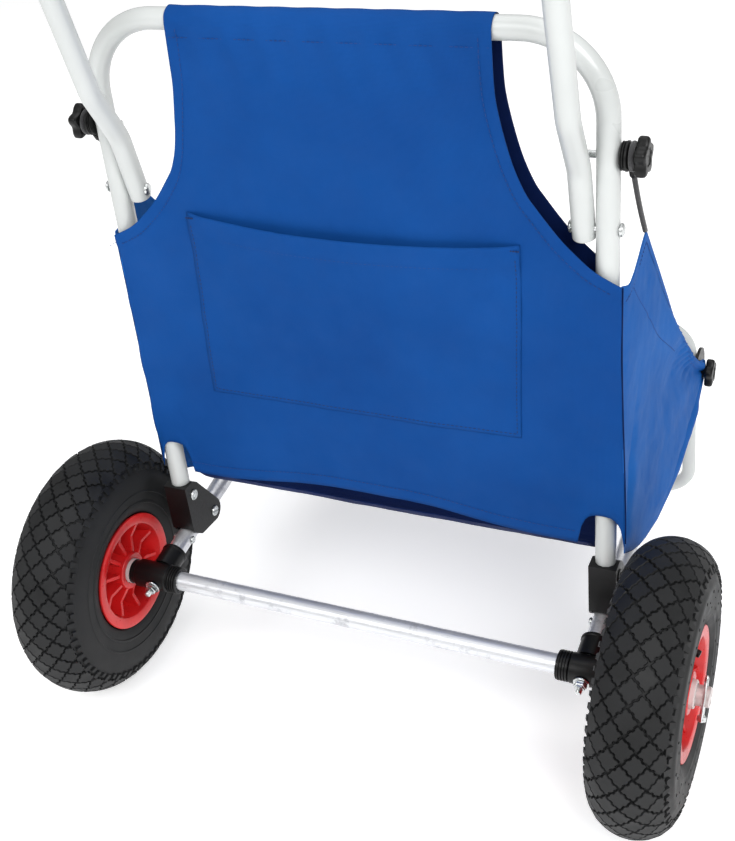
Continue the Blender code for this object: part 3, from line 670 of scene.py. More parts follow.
def tread_blocks(at):
    """Seven rows of zig-zag diamonds, with square lugs along both shoulders."""
    verts, faces = [], []
    pitch, flat = math.tau / BLOCKS_AROUND, 3.6
    reach, rise = pitch * 0.452, ROW_STEP * 0.905
    for row in range(-3, 4):
        edge = 1 if row > 0 else -1
        for i in range(BLOCKS_AROUND):
            theta, phi = (i + 0.5 * (row % 2)) * pitch, row * ROW_STEP
            corners = [(theta + reach, phi), (theta, phi + rise), (theta - reach, phi), (theta, phi - rise)]
            if abs(row) == 3:
                corners = [(theta + reach, phi), (theta + reach * 0.72, phi + edge * rise * 0.62),
                           (theta - reach * 0.72, phi + edge * rise * 0.62), (theta - reach, phi),
                           (theta, phi - edge * rise)][::edge]
            wave = jagged([(a * flat, b) for a, b in corners], 0.014)
            outline = [Vector((p.x / flat, p.y)) for p in wave]
            add_block(verts, faces, at, outline, 0.0029 if abs(row) < 3 else 0.0027)
    for edge in (-1, 1):
        for i in range(BLOCKS_AROUND * 2):
            theta = (i + 1) * pitch / 2
            low, high, width = ((1.10, 1.24, 0.120), (0.98, 1.22, 0.145))[i % 2]
            reach = pitch * width
            tip = reach * 0.85
            outline = [(theta - reach, low), (theta + reach, low), (theta + tip, high), (theta - tip, high)]
            add_block(verts, faces, at, [Vector((a, edge * b)) for a, b in outline[::-edge]], 0.0024)
    return build_mesh("tread", verts, faces)


MARKS = ((0.0905, 0.0012, 0.0006), (0.0840, 0.0006, 0.0010), (0.0765, 0.0014, 0.0007))


def ring_marks(side, at):
    """Small raised marks round the outer sidewall."""
    verts, faces = [], []
    for i in range(54):
        theta = math.tau * (i + (0.3 if i % 3 else 0.0)) / 54
        radius, long, wide = MARKS[i % 3]
        corners = []
        for r, k in ((radius - long, -1), (radius - long, 1), (radius + long, 1), (radius + long, -1)):
            y = r * math.cos(theta) - k * wide * math.sin(theta)
            corners.append((y, r * math.sin(theta) + k * wide * math.cos(theta)))
        first = len(verts)
        for x in (0.0330, 0.0372 if radius > 0.08 else 0.0364):
            verts += [Vector((at[0] + side * x, at[1] + y, at[2] + z)) for y, z in corners]
        faces += ring_faces(2, 4, first)
        faces += [tuple(range(first, first + 4))[::-1], tuple(range(first + 4, first + 8))]
    return build_mesh("marks", verts, faces)


def tyre(name, side, at):
    """The carcass with its outer and inner sidewall rings, and the tread, as one piece."""
    crown = []
    for angle in range(0, 76, 5):
        turn = math.radians(angle)
        crown.append((CROWN_R + CROWN_RISE * math.cos(turn), TYRE_HALF_W * math.sin(turn)))
    outer = [(0.0995, 0.0351), (0.0982, 0.0360), (0.0960, 0.0366), (0.0945, 0.0369), (0.0935, 0.0366)]
    outer += [(0.0860, 0.0368), (0.0800, 0.0366), (0.0785, 0.0369), (0.0770, 0.0362), (0.0715, 0.0355)]
    outer += [(0.0700, 0.0360), (0.0685, 0.0352), (0.0650, 0.0338), (0.0622, 0.0324), (0.0608, 0.0306)]
    outer += [(0.0600, 0.0280)]
    inner = [(0.0965, 0.0351), (0.0900, 0.0354), (0.0860, 0.0354), (0.0843, 0.0354), (0.0838, 0.0359)]
    inner += [(0.0826, 0.0359), (0.0821, 0.0352), (0.0765, 0.0347), (0.0735, 0.0343), (0.0730, 0.0349)]
    inner += [(0.0712, 0.0349), (0.0707, 0.0340), (0.0668, 0.0334), (0.0655, 0.0327), (0.0622, 0.0318)]
    inner += [(0.0605, 0.0302), (0.0600, 0.0280)]
    profile = (crown + outer)[::-1] + [(r, -x) for r, x in crown[1:] + inner]
    body = lathe("carcass", profile, at, (side, 0, 0), 144, True)
    mesh = joined("tyre", [body, tread_blocks(at), ring_marks(side, at)])
    piece(f"treaded_tyre_{name}", mesh, RUBBER, f"wheel_{name}", 38, [f"tyre_{name}"])


def rim(name, side, at):
    """The two-sided dished rim with its ribs, and the bush and valve that ride in it."""
    half = [(0.0130, 0.0300), (0.0178, 0.0305), (0.0190, 0.0297), (0.0206, 0.0090), (0.0222, 0.0065)]
    half += [(0.0430, 0.0065), (0.0452, 0.0085), (0.0486, 0.0302), (0.0492, 0.0318), (0.0504, 0.0327)]
    half += [(0.0580, 0.0334), (0.0594, 0.0330), (0.0599, 0.0320), (0.0598, 0.0308), (0.0520, 0.0295)]
    half += [(0.0508, 0.0280)]
    profile = half + [(r, -x) for r, x in half[::-1]]
    meshes = [lathe("rim", profile, at, (1, 0, 0), 96, True)]
    verts, faces = [], []
    for face in (-1, 1):
        for i in range(RIB_COUNT):
            angle = math.tau * (i + 0.5 * (face > 0)) / RIB_COUNT
            wide = RIB_HALF
            outline = [(0.0185, 0.005), (0.0460, 0.005), (0.0482, 0.0270), (0.0340, 0.0225), (0.0192, 0.0275)]
            first = len(verts)
            for k in (-1, 1):
                for r, x in outline:
                    y = r * math.cos(angle) - k * wide * math.sin(angle)
                    z = r * math.sin(angle) + k * wide * math.cos(angle)
                    verts.append(Vector((at[0] + face * x, at[1] + y, at[2] + z)))
            faces += ring_faces(2, 5, first)
            faces += [tuple(range(first, first + 5))[::-1], tuple(range(first + 5, first + 10))]
    meshes.append(build_mesh("ribs", verts, faces))
    rim_obj = piece(f"dished_rim_{name}", joined("rim", meshes), RED, f"wheel_{name}", 32,
                    [f"rim_{name}"])
    soften(rim_obj, 0.0004)
    bush = [(0.0100, 0.0345), (0.0110, 0.0345), (0.0118, 0.0341), (0.0126, 0.0336), (0.0126, -0.0336)]
    bush += [(0.0118, -0.0341), (0.0110, -0.0345), (0.0100, -0.0345)]
    bush_obj = turned(f"nylon_bush_{name}", bush, at, (1, 0, 0), [PALE, BLACK], f"wheel_{name}",
                      [f"hub_bush_{name}"], 48, True, 32)
    for face in bush_obj.data.polygons:
        face.material_index = int(side * (face.center.x - at[0]) < -0.020)
    foot = Vector((at[0] + side * 0.0130, *ahead(AXLE, 54, 0.0395)))
    line = Vector((at[0] + side * 0.0326, *ahead(AXLE, 54, 0.0340))) - foot
    stem = [(0, 0), (0.0038, 0), (0.0038, 0.004), (0.0030, 0.006), (0.0030, 0.013), (0.0034, 0.0135)]
    stem += [(0.0034, line.length - 0.0008), (0.0028, line.length), (0, line.length)]
    turned(f"valve_stem_{name}", stem, foot, line, BLACK, f"wheel_{name}", [f"valve_{name}"],
           20, False, 30)


def linch_pin(name, side):
    """A thin pin through the axle stub's end, with a square block and a spring arm, and the stub."""
    low = Vector((side * PIN_X, *ahead(AXLE, PIN_TURN, -0.0165)))
    line = Vector((0, *ahead((0, 0), PIN_TURN, 1)))
    shaft = [(0, 0.0350), (0.0011, 0.0346), (0.0019, 0.0320), (0.0019, 0.0006), (0.0026, 0.0)]
    shaft += [(0.0026, -0.0012), (0, -0.0012)]
    pin = lathe("pin", shaft[::-1], low, line, 24)
    head = [(0, -0.0060), (0.0034, -0.0060), (0.0042, -0.0052), (0.0042, -0.0014), (0.0034, -0.0006)]
    head += [(0, -0.0006)]
    block = lathe("block", head, low, line, 4)
    arm = []
    for up, out in ((-0.0036, 0.002), (-0.0040, 0.006), (-0.0030, 0.0092), (0.0, 0.0106), (0.0080, 0.0111),
                    (0.0170, 0.0106), (0.0240, 0.0106), (0.0300, 0.0114), (0.0325, 0.0126)):
        arm.append(low + line * up + Vector((side * 0.0012, *ahead((0, 0), PIN_TURN + 90, out))))
    arm = rings_mesh("arm", tube_rings(arm, 0.0009, 10, 0))
    made = piece(f"linch_pin_bright_{name}", joined("pin", [pin, block, arm]), ZINC, f"linch_pin_{name}", 35,
                 [f"linch_pin_{name}"])
    soften(made, 0.0004)
    stub = [(0, 0.2050), (0.0069, 0.2050), (0.0069, 0.2436), (0.0118, 0.2438), (0.0118, 0.2471)]
    stub += [(0.0091, 0.2471), (0.0091, 0.3278), (0.0084, 0.3285), (0.0068, 0.3285), (0.0066, 0.3279)]
    stub += [(0, 0.3279)]
    made = turned(f"stub_{name}", stub, (0, *AXLE), (side, 0, 0), [PALE_METAL, BLACK], "lower_frame",
                  [f"axle_stub_{name}"], 40)
    for face in made.data.polygons:
        face.material_index = int(0.2430 < abs(face.center.x) < 0.2480)


for side_name, side_sign in SIDES:
    hub_at = (side_sign * WHEEL_X, *AXLE)
    tyre(side_name, side_sign, hub_at)
    rim(side_name, side_sign, hub_at)
    linch_pin(side_name, side_sign)
    repaint(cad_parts[f"inner_tube_{side_name}"], RUBBER)

# ---------------------------------------------------------------- knobs

def star_head(name, centre, side, start, thick, radius=0.0157, lobes=5):
    """A domed head with rounded lobes, as rings of lobed outlines."""
    steps = 100
    levels = [(0.0, 0.0), (0.62, 0.0), (0.90, 0.0004), (0.985, 0.0016), (1.0, 0.0030), (1.0, thick - 0.0028)]
    levels += [(0.975, thick - 0.0013), (0.90, thick - 0.0003), (0.80, thick), (0.50, thick - 0.0002)]
    levels += [(0.46, thick - 0.0010), (0.0, thick - 0.0011)]
    rings = []
    for scale, height in levels:
        ring = []
        for i in range(steps):
            angle = math.tau * i / steps
            depth = min(1.0, scale / 0.6)
            swell = 1 - 0.150 * depth * (1 - math.cos(lobes * angle)) ** 0.85
            reach = max(scale * radius * swell, 0.00003)
            ring.append(Vector((side * (start + height), *ahead(centre, math.degrees(angle) + 12, reach))))
        rings.append(ring)
    return rings_mesh(name, rings)


def knobs():
    """Both pairs of star knobs with their bolts and saddles, and the leg plates' and the handle's bolts."""
    for name, side in SIDES:
        out = (side, 0, 0)
        foot = [(0.00335, 0.0), (0.0108, 0.0), (0.0114, 0.0005), (0.0114, 0.0018), (0.0108, 0.0022)]
        foot += [(0.0068, 0.0023), (0.0066, 0.0030), (0.0066, 0.0085), (0.00335, 0.0085)]
        base = lathe("foot", foot, (side * 0.2333, *LOCK), out, 40, True)
        head = star_head("head", LOCK, side, 0.2412, 0.0090)
        piece(f"star_knob_{name}", joined("knob", [base, head]), BLACK, f"handle_knob_{name}", 35,
              [f"handle_knob_{name}"])
        pin = [(0, 0.0), (0.0024, 0.0), (0.0029, 0.0006), (0.0029, 0.0368), (0, 0.0370)]
        turned(f"lock_bolt_bright_{name}", pin, (side * 0.2040, *LOCK), out, ZINC, f"handle_knob_{name}",
               [f"lock_bolt_{name}"], 24)
        saddle = [(0.0036, 0.0), (0.0100, 0.0), (0.0109, 0.0006), (0.0109, 0.0012), (0.0098, 0.0016)]
        saddle += [(0.0098, 0.0020), (0.0109, 0.0024), (0.0109, 0.0029), (0.0102, 0.0034), (0.0036, 0.0034)]
        turned(f"saddle_{name}", saddle, (side * 0.2296, *LOCK), out, BLACK, "back_frame",
               [f"knob_saddle_{name}"], 40, True)
        hub = [(0.00335, 0.0), (0.0078, 0.0), (0.0078, 0.0008), (0.0066, 0.0012), (0.0066, 0.0046)]
        hub += [(0.00335, 0.0046)]
        base = lathe("hub", hub, (side * 0.2350, *LEG), out, 40, True)
        head = star_head("head", LEG, side, 0.2390, 0.0090)
        piece(f"leg_star_knob_{name}", joined("knob", [base, head]), BLACK, f"leg_knob_{name}", 35,
              [f"leg_knob_{name}"])
        bolt = [(0, 0.0), (0.0052, 0.0), (0.0072, 0.0022), (0.0072, 0.0038), (0.0029, 0.0040)]
        bolt += [(0.0029, 0.0330), (0, 0.0333)]
        turned(f"leg_bolt_bright_{name}", bolt, (side * 0.2095, *LEG), out, ZINC, "leg_loop",
               [f"leg_bolt_{name}"])
        rivet = [(0, 0), (0.0032, 0.0004), (0.0044, 0.0017), (0.0023, 0.0018), (0.0023, 0.0236), (0, 0.0239)]
        turned(f"plate_rivet_{name}", rivet, (side * 0.2088, *side_point(0.322)), out, ZINC, "lower_frame",
               [f"leg_plate_rivet_{name}"], 24)
        ends = [(0, 0), (0.0044, 0.0004), (0.0052, 0.0016), (0.0052, 0.0021), (0.0029, 0.0022)]
        ends += [(0.0029, 0.0404), (0.0052, 0.0405), (0.0054, 0.0412), (0.0050, 0.0425), (0.0036, 0.0433)]
        ends += [(0, 0.0436)]
        turned(f"pivot_bolt_bright_{name}", ends, (side * 0.1892, *PIVOT), out, ZINC, "back_frame",
               [f"handle_pivot_bolt_{name}"])
        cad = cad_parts[f"leg_plate_{name}"]
        repaint(cad, BLACK)
        soften(cad, 0.0006)


knobs()

# ---------------------------------------------------------------- cloth

def ripple(x, y, z, scale, seed):
    return noise.fractal(Vector((x * scale + seed, y * scale, z * scale)), 0.9, 2.1, 4)


def smooth(value, low, high):
    part = min(1.0, max(0.0, (value - low) / (high - low)))
    return part * part * (3 - 2 * part)


# The armhole's edge, as (distance from the middle, height).
ARMHOLE = [(SLEEVE_HALF, 0.540), (SLEEVE_HALF, 0.525), (0.1375, 0.500), (0.139, 0.479), (0.1442, 0.454)]
ARMHOLE += [(0.151, 0.430), (0.1595, 0.410), (0.1675, 0.398), (0.185, 0.3755), (0.2035, 0.3575)]
ARMHOLE += [(0.2155, 0.3485), (0.2325, 0.3400)]


def edge_curve():
    """Points along the armhole's edge, evenly spaced on a smooth curve."""
    points = [Vector(point) for point in ARMHOLE]
    dense = []
    for i in range(len(points) - 1):
        p0, p1 = points[max(i - 1, 0)], points[i]
        p2, p3 = points[i + 1], points[min(i + 2, len(points) - 1)]
        for k in range(12):
            t = k / 12
            dense.append(0.5 * (2 * p1 + (p2 - p0) * t + (2 * p0 - 5 * p1 + 4 * p2 - p3) * t * t
                                + (3 * p1 - p0 - 3 * p2 + p3) * t ** 3))
    dense.append(points[-1])
    return dense


EDGE = edge_curve()
EDGE_XY = np.array([(p.x, p.y) for p in EDGE])


def edge_gap(x, height):
    return float(np.sqrt(((EDGE_XY - (abs(x), height)) ** 2).sum(1)).min())


def bottom_edge(x):
    """Height of the cover's lower edge across its width, with an arch over each upright."""
    x = abs(x)
    base = 0.100 - 0.013 * smooth(x, 0.03, 0.17)
    arch = max(0.0, 1 - abs((x - 0.2160) / 0.0168) ** 3.2) ** 0.45
    return base + 0.031 * arch


def hang(x, height):
    """The cloth hangs a little toward the cart's right: how far a point has moved along X."""
    left = 0.0070 * smooth(-x, 0.125, 0.165) * (1 - smooth(height, 0.440, 0.500))
    right = 0.0055 * smooth(x, 0.190, 0.235) * (1 - smooth(height, 0.090, 0.300))
    return x + left + right


def cover_edge(side, height):
    return hang(side * 0.2340, height)


def cover_depth(x, height):
    """How far the rear layer stands behind the uprights' plane."""
    flat = 0.0112 + 0.0009 * ripple(x, 0, height, 9.0, 3.1)
    flat += 0.0012 * ripple(x * 0.5, 0, height * 1.3, 5.0, 8.4)
    side_pull = 0.0010 * math.sin(height * 95 + abs(x) * 30) * smooth(abs(x), 0.150, 0.225)
    tucks = 0.0009 * math.sin(x * 210) * math.exp(-((height - 0.512) / 0.012) ** 2)
    tucks *= smooth(abs(x), 0.05, 0.13)
    tucks -= 0.0008 * math.exp(-((height - 0.5195) / 0.0022) ** 2)
    sag = 0.0035 * math.exp(-((height - 0.150) / 0.08) ** 2) * (1 - (x / 0.232) ** 2)
    hem = 0.0005 if edge_gap(x, height) < 0.0100 else 0.0
    low = 0.0005 if height - bottom_edge(x) < 0.012 else 0.0
    return flat + side_pull + tucks + sag + hem + low


def grid(levels, columns, place):
    """Rows of (point, uv) cells."""
    return [[place(level, column) for column in columns] for level in levels]


def sewn(name, rows, mat, stands_for, body=None, thick=CLOTH, face_mats=None):
    """A cloth sheet with its thickness, from rows of (point, uv) cells."""
    wide, faces = len(rows[0]), []
    for i in range(len(rows) - 1):
        for j in range(wide - 1):
            a = i * wide + j
            faces.append((a, a + 1, a + wide + 1, a + wide))
    points, uvs = zip(*(cell for row in rows for cell in row))
    mesh = build_mesh(name, points, faces, face_mats, uvs, outward=False)
    obj = piece(name, mesh, mat, body, 0, [stands_for])
    shell = obj.modifiers.new("cloth", "SOLIDIFY")
    shell.thickness = thick
    shell.offset = 0.0
    shell.use_even_offset = False
    return obj


def stitches(name, path, facing, body, mat, length=0.0028, gap=0.0012, radius=0.00030):
    """Short rounded stitches laid end to end along a path on cloth that faces this way."""
    path, up = [Vector(point) for point in path], facing.normalized()
    lengths = [0.0]
    for a, b in zip(path, path[1:]):
        lengths.append(lengths[-1] + (b - a).length)

    def at(s):
        for i in range(len(path) - 1):
            if s <= lengths[i + 1]:
                return path[i].lerp(path[i + 1], (s - lengths[i]) / max(lengths[i + 1] - lengths[i], 1e-9))
        return path[-1]

    verts, faces, s = [], [], 0.0
    while s + length < lengths[-1]:
        a, b = at(s), at(s + length)
        side = (b - a).normalized().cross(up)
        first = len(verts)
        for part, size, lift in ((0, 0.35, -0.4), (0.2, 1, 0.35), (0.8, 1, 0.35), (1, 0.35, -0.4)):
            middle = a.lerp(b, part) + up * radius * lift
            for k in range(6):
                turn = math.tau * k / 6
                verts.append(middle + radius * size * (math.cos(turn) * side + math.sin(turn) * up))
        faces += ring_faces(4, 6, first)
        faces += [tuple(range(first, first + 6))[::-1], tuple(range(first + 18, first + 24))]
        s += length + gap
    return piece(name, build_mesh(name, verts, faces), mat, body, 60)


def cover_layer(sign, columns):
    """One layer of the cover, from its hem up to the rail: 1 is the rear layer and -1 the front one."""
    half = COVER_HALF if sign > 0 else FRONT_HALF

    def cell(x, height, depth):
        if sign < 0:
            depth = -0.0113 + 0.3 * (depth - 0.0112)
        return (hang(x, height), *back_point(height, depth)), (x, height)

    def low_part(part, c):
        x = c * half
        foot = bottom_edge(x) + (0.012 if sign < 0 else 0.0)
        height = foot + (CORNER_HEIGHT - foot) * part
        return cell(x, height, cover_depth(x, height))

    def neck(edge, c):
        x = c * min(edge.x, half)
        height = max(edge.y, CORNER_HEIGHT + 0.0001)
        near = smooth(height, 0.44, RAIL_HEIGHT)
        depth = cover_depth(x, height) * (1 - near) + 0.0110 * near
        return cell(x, height, depth + near * 0.0006 * math.sin(x * 210 + height * 60))

    edges = [edge for edge in EDGE[::-1][1:] if edge.y <= RAIL_HEIGHT]
    return grid(np.linspace(0.0, 1.0, 60), columns, low_part) + grid(edges, columns, neck)


def cover_rows():
    """Rows of the cover from its rear hem, over the rail and down to its front hem."""
    columns = [0.55 * math.sin(math.pi / 2 * k) + 0.45 * k for k in np.linspace(-1, 1, 121)]

    def over_rail(i, c):
        x = c * SLEEVE_HALF
        swell = 0.0104 + 0.0002 * math.sin(x * 190 + i)
        point = (x, *ahead(back_point(RAIL_HEIGHT), 180 - LEAN - 180 * i / 16, swell))
        return point, (x, RAIL_HEIGHT + 0.0022 * i)

    rear = cover_layer(1, columns)
    front = [[(point, (x, 1.1 - y)) for point, (x, y) in row] for row in cover_layer(-1, columns)[::-1]]
    return rear + grid(range(1, 16), columns, over_rail) + front, len(rear) + 8


def cover():
    """The back's two layers with their sleeve over the rail, and the stitching on the rear one."""
    rows, rear_count = cover_rows()
    mats = [int(i >= rear_count) for i in range(len(rows) - 1) for _ in rows[0][1:]]
    obj = sewn("sewn_back_cover", rows, [BLUE, NAVY], "back_cover", "back_frame", face_mats=mats)
    rear = Vector((0, -math.cos(math.radians(LEAN)), math.sin(math.radians(LEAN))))

    def on(x, height):
        return (hang(x, height), *back_point(height, cover_depth(x, height) + 0.0005))

    for name, side in SIDES:
        inner = []
        for i, point in enumerate(EDGE):
            run = (EDGE[min(i + 1, len(EDGE) - 1)] - EDGE[max(i - 1, 0)]).normalized()
            spot = point + Vector((run.y, -run.x)) * 0.0098
            if point.y <= 0.528 and spot.x < 0.2300:
                inner.append(on(side * spot.x, spot.y))
        stitches(f"armhole_stitch_{name}", inner, rear, "back_frame", THREAD)
    foot = [(x, *on(x, bottom_edge(x) + 0.0118)[1:]) for x in np.linspace(-0.197, 0.197, 120)]
    stitches("lower_hem_stitch", foot, rear, "back_frame", THREAD)
    top = [(x, *back_point(0.5195, 0.0114)) for x in np.linspace(-0.1355, 0.1355, 60)]
    stitches("sleeve_stitch", top, rear, "back_frame", THREAD)


def pocket_top(x):
    return 0.3675 - 0.0090 * (1 - (x / 0.1505) ** 2) - 0.006 * x


def pocket_depth(x, height):
    """How far the pocket stands behind the uprights' plane: flat at its seams and open at its mouth."""
    part = (height - POCKET_FOOT) / (pocket_top(x) - POCKET_FOOT)
    across = max(0.0, 1 - abs(x / POCKET_HALF) ** 2.6)
    bulge = 0.0068 * across * smooth(part, 0.0, 0.95) ** 1.1
    folds = 0.0010 * ripple(x, 1.0, height, 16.0, 5.5) * smooth(across, 0.0, 0.25)
    pull = 0.0007 * math.sin((abs(x) * 0.8 + height) * 150) * math.exp(-((abs(x) - 0.140) / 0.02) ** 2)
    hem = 0.0006 if pocket_top(x) - height < 0.0185 else 0.0
    return cover_depth(x, height) + 0.0011 + bulge + max(folds, -bulge * 0.5) + pull * part + hem


def on_pocket(x, height, lift=0.0):
    return (x + 0.0035 * smooth(height, 0.19, 0.36), *back_point(height, pocket_depth(x, height) + lift))


def pocket():
    """A patch sewn to the rear layer on three sides, with a hemmed mouth that stands a little open."""
    columns = np.linspace(-POCKET_HALF, POCKET_HALF, 81)

    def patch(part, x):
        height = POCKET_FOOT + (pocket_top(x) - POCKET_FOOT) * part
        return on_pocket(x, height), (x, height + 0.003 * math.sin(x * 9))

    def lip(turn, x):
        shift, down = turn
        return on_pocket(x, pocket_top(x) - down, -shift), (x, pocket_top(x) + 0.003 * math.sin(x * 9) + down)

    lips = ((0.0004, 0.0004), (0.0010, 0.0012), (0.0012, 0.0070), (0.0012, 0.0185))
    rows = grid(np.linspace(0, 1, 70), columns, patch) + grid(lips, columns, lip)
    obj = sewn("sewn_pocket", rows, BLUE, "pocket", "back_frame", 0.0007)
    rear = Vector((0, -1, 0.03))
    seam, foot = 0.1468, 0.1915
    path = [(-seam, h) for h in np.linspace(0.357, foot, 60)]
    path += [(x, foot) for x in np.linspace(-seam, seam, 90)]
    path += [(seam, h) for h in np.linspace(foot, 0.357, 60)]
    stitches("pocket_stitch", [on_pocket(x, h, 0.0004) for x, h in path], rear, "back_frame", DARK_THREAD)
    mouth = [on_pocket(x, pocket_top(x) - 0.0187, 0.0004) for x in np.linspace(-0.1455, 0.1455, 90)]
    stitches("pocket_hem_stitch", mouth, rear, "back_frame", THREAD)
    for name, side in SIDES:
        x = side * seam
        place = back_point(pocket_top(x) - 0.004, pocket_depth(x, 0.35) + 0.0007)
        bar = [(on_pocket(x, 0.36)[0] - 0.004 + 0.002 * k, *place) for k in range(5)]
        stitches(f"pocket_tack_{name}", bar, rear, "back_frame", DARK_THREAD, 0.0016, 0.0004, 0.0006)


def between(table, value):
    """Straight-line reading of a (value, result) table."""
    for (a, ra), (b, rb) in zip(table, table[1:]):
        if value <= b:
            part = min(1.0, max(0.0, (value - a) / (b - a)))
            return ra + (rb - ra) * part
    return table[-1][1]


# The bag side's upper and lower edges and the bag floor, as (distance forward of the axle, height).
GUSSET_TOP = [(BAG_REAR, 0.4785), (0.0640, 0.4760), (0.0720, 0.4748), (0.0810, 0.4750), (0.0920, 0.4775)]
GUSSET_TOP += [(0.1060, 0.4840), (0.1190, 0.4910), (0.1300, 0.4955), (0.1420, 0.4810), (0.1850, 0.4290)]
GUSSET_TOP += [(0.2200, 0.3860), (0.2540, 0.3425), (0.2800, 0.3150), (0.3060, 0.2890), (0.3300, 0.2660)]
GUSSET_TOP += [(0.3500, 0.2490), (0.3860, 0.2200), (0.4100, 0.2080), (0.4220, 0.2000)]
GUSSET_LOW = [(BAG_REAR, 0.2210), (0.0700, 0.2105), (0.0990, 0.1915), (0.1250, 0.1770), (0.1510, 0.1660)]
GUSSET_LOW += [(0.2000, 0.1500), (0.2510, 0.1420), (0.3040, 0.1365), (0.3500, 0.1440), (0.3810, 0.1570)]
GUSSET_LOW += [(0.4050, 0.1680), (0.4220, 0.1800)]
FLOOR_PATH = [(0.0790, 0.2085), (0.0880, 0.1975), (0.0990, 0.1870), (0.1250, 0.1710), (0.1510, 0.1600)]
FLOOR_PATH += [(0.2000, 0.1460), (0.2510, 0.1385), (0.3040, 0.1365), (0.3500, 0.1435), (0.3880, 0.1570)]
FRONT_PATH = [(0.3945, 0.1610), (0.3990, 0.1800), (0.4010, 0.2000), (0.4005, 0.2200), (0.3985, 0.2430)]
KNOB_HUB = (0.4170, 0.1880)
GUSSET_X = 0.2362


def gusset_x(y, z):
    """How far out the side cloth stands, with folds that run down and back from the leg's knob."""
    dy, dz = y - KNOB_HUB[0], z - KNOB_HUB[1]
    reach = math.hypot(dy, dz)
    angle = math.degrees(math.atan2(dz, -dy))
    low, high = between(GUSSET_LOW, y), between(GUSSET_TOP, y)
    part = (z - low) / max(high - low, 0.001)
    inside = smooth(part, 0.0, 0.12) * (1 - smooth(part, 0.90, 1.0)) * smooth(y, 0.060, 0.095)
    bend = angle + 26 * reach
    fan = math.sin(math.radians(bend * 8.2 + 20)) + 0.5 * math.sin(math.radians(bend * 14.7 + 95))
    fan *= math.exp(-((reach - 0.15) / 0.13) ** 2) * (0.6 + 0.4 * smooth(angle, 15, 45))
    edge_gather = math.sin(z * 520 + y * 90) * math.exp(-((high - z) / 0.028) ** 2) * smooth(y, 0.235, 0.27)
    edge_gather *= 1 - smooth(y, 0.335, 0.365)
    tuck = -math.exp(-((angle - 49 - 14 * reach) / 2.6) ** 2) * smooth(reach, 0.05, 0.10)
    tuck *= 1 - smooth(reach, 0.20, 0.30)
    drop = -math.exp(-((y - 0.078 - 0.22 * (z - 0.21)) / 0.009) ** 2) * (1 - smooth(z, 0.25, 0.40))
    soft = ripple(0.2, y, z, 11.0, 1.7)
    clear = 1 - 0.85 * (1 - smooth(math.hypot(y, z - 0.130), 0.132, 0.180))
    belly = 0.0022 * math.sin(math.pi * min(1.0, max(0.0, (y - 0.055) / 0.36)))
    folds = belly + 0.0062 * fan + 0.0075 * tuck + 0.0028 * soft
    return GUSSET_X + clear * inside * folds + 0.0060 * inside * drop + 0.0022 * edge_gather


def side_blend(obj):
    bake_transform(obj)


def gusset_rows(side):
    """Rows of a bag side, from its rear seam, where it wraps round to the cover's edge, to the leg's knob."""

    def cell(y, part):
        low, high = between(GUSSET_LOW, y), between(GUSSET_TOP, y)
        if side < 0:
            low += 0.042 * (1 - smooth(y, BAG_REAR, 0.0900))
        z = low + (high - low) * part
        hem = 0.0006 if high - z < 0.0100 else 0.0004 if z - low < 0.008 else 0.0
        height = z - 0.1393
        edge = abs(cover_edge(side, min(height, 0.339))) - 0.0004
        x = edge + (gusset_x(y, z) + hem - edge) * smooth(y, BAG_REAR, 0.0800) ** 0.55
        shift = back_point(height, 0.0108)[0] + CENTRE_Y - BAG_REAR
        return (side * x, y - CENTRE_Y + shift * (1 - smooth(y, BAG_REAR, 0.0850)), z), (y, z)

    lengths = [BAG_REAR + BAG_LENGTH * k ** 1.25 for k in np.linspace(0, 1, 200)]
    return grid(lengths, np.linspace(0, 1, 120), cell)


def gussets():
    """The bag's two sides with their stitching, and the piping down each rear corner."""
    for name, side in SIDES:
        # The side cloth's lighter blue is painted light from the right.
        obj = sewn(f"side_cloth_{name}", gusset_rows(side), SIDE_BLUE_PAINTED_LIGHT, f"bag_gusset_{name}")
        side_blend(obj)
        top = []
        for y in np.linspace(0.066, 0.405, 150):
            z = between(GUSSET_TOP, y) - 0.0100
            top.append((side * (gusset_x(y, z) + 0.0008), y - CENTRE_Y, z))
        flap = []
        for part in np.linspace(0, 1, 90):
            y, z = 0.088 + 0.150 * part, 0.468 - 0.148 * part - 0.010 * math.sin(math.pi * part)
            if z < between(GUSSET_TOP, y) - 0.013:
                flap.append((side * (gusset_x(y, z) + 0.0005), y - CENTRE_Y, z))
        for kind, path in (("top", top), ("flap", flap)):
            side_blend(stitches(f"side_{kind}_stitch_{name}", path, Vector((side, 0, 0)), None, THREAD))
        heights = np.linspace(0.092, 0.338, 40)
        seam = [(cover_edge(side, h) + side * 0.0004, *back_point(h, 0.0104)) for h in heights]
        mesh = rings_mesh("piping", tube_rings(seam, 0.0007, 8, 0))
        piece(f"corner_piping_{name}", mesh, NAVY, "back_frame", 0)


def bag_floor():
    """The bag's floor, which sags between the side tubes."""

    def cell(y, c):
        x = c * (0.2025 + 0.0265 * smooth(y, 0.2235, 0.2420))
        sag = 0.0050 * (1 - c * c) * smooth(y, 0.10, 0.16) * (1 - smooth(y, 0.33, 0.385))
        z = between(FLOOR_PATH, y) - sag
        return (x, y - CENTRE_Y, z + 0.0012 * ripple(x, y, 0.4, 12.0, 2.2)), (x, y)

    rows = grid(np.linspace(FLOOR_PATH[0][0], FLOOR_PATH[-1][0], 130), np.linspace(-1, 1, 111), cell)
    obj = sewn("bag_floor_cloth", rows, NAVY, "bag_bottom")
    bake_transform(obj)


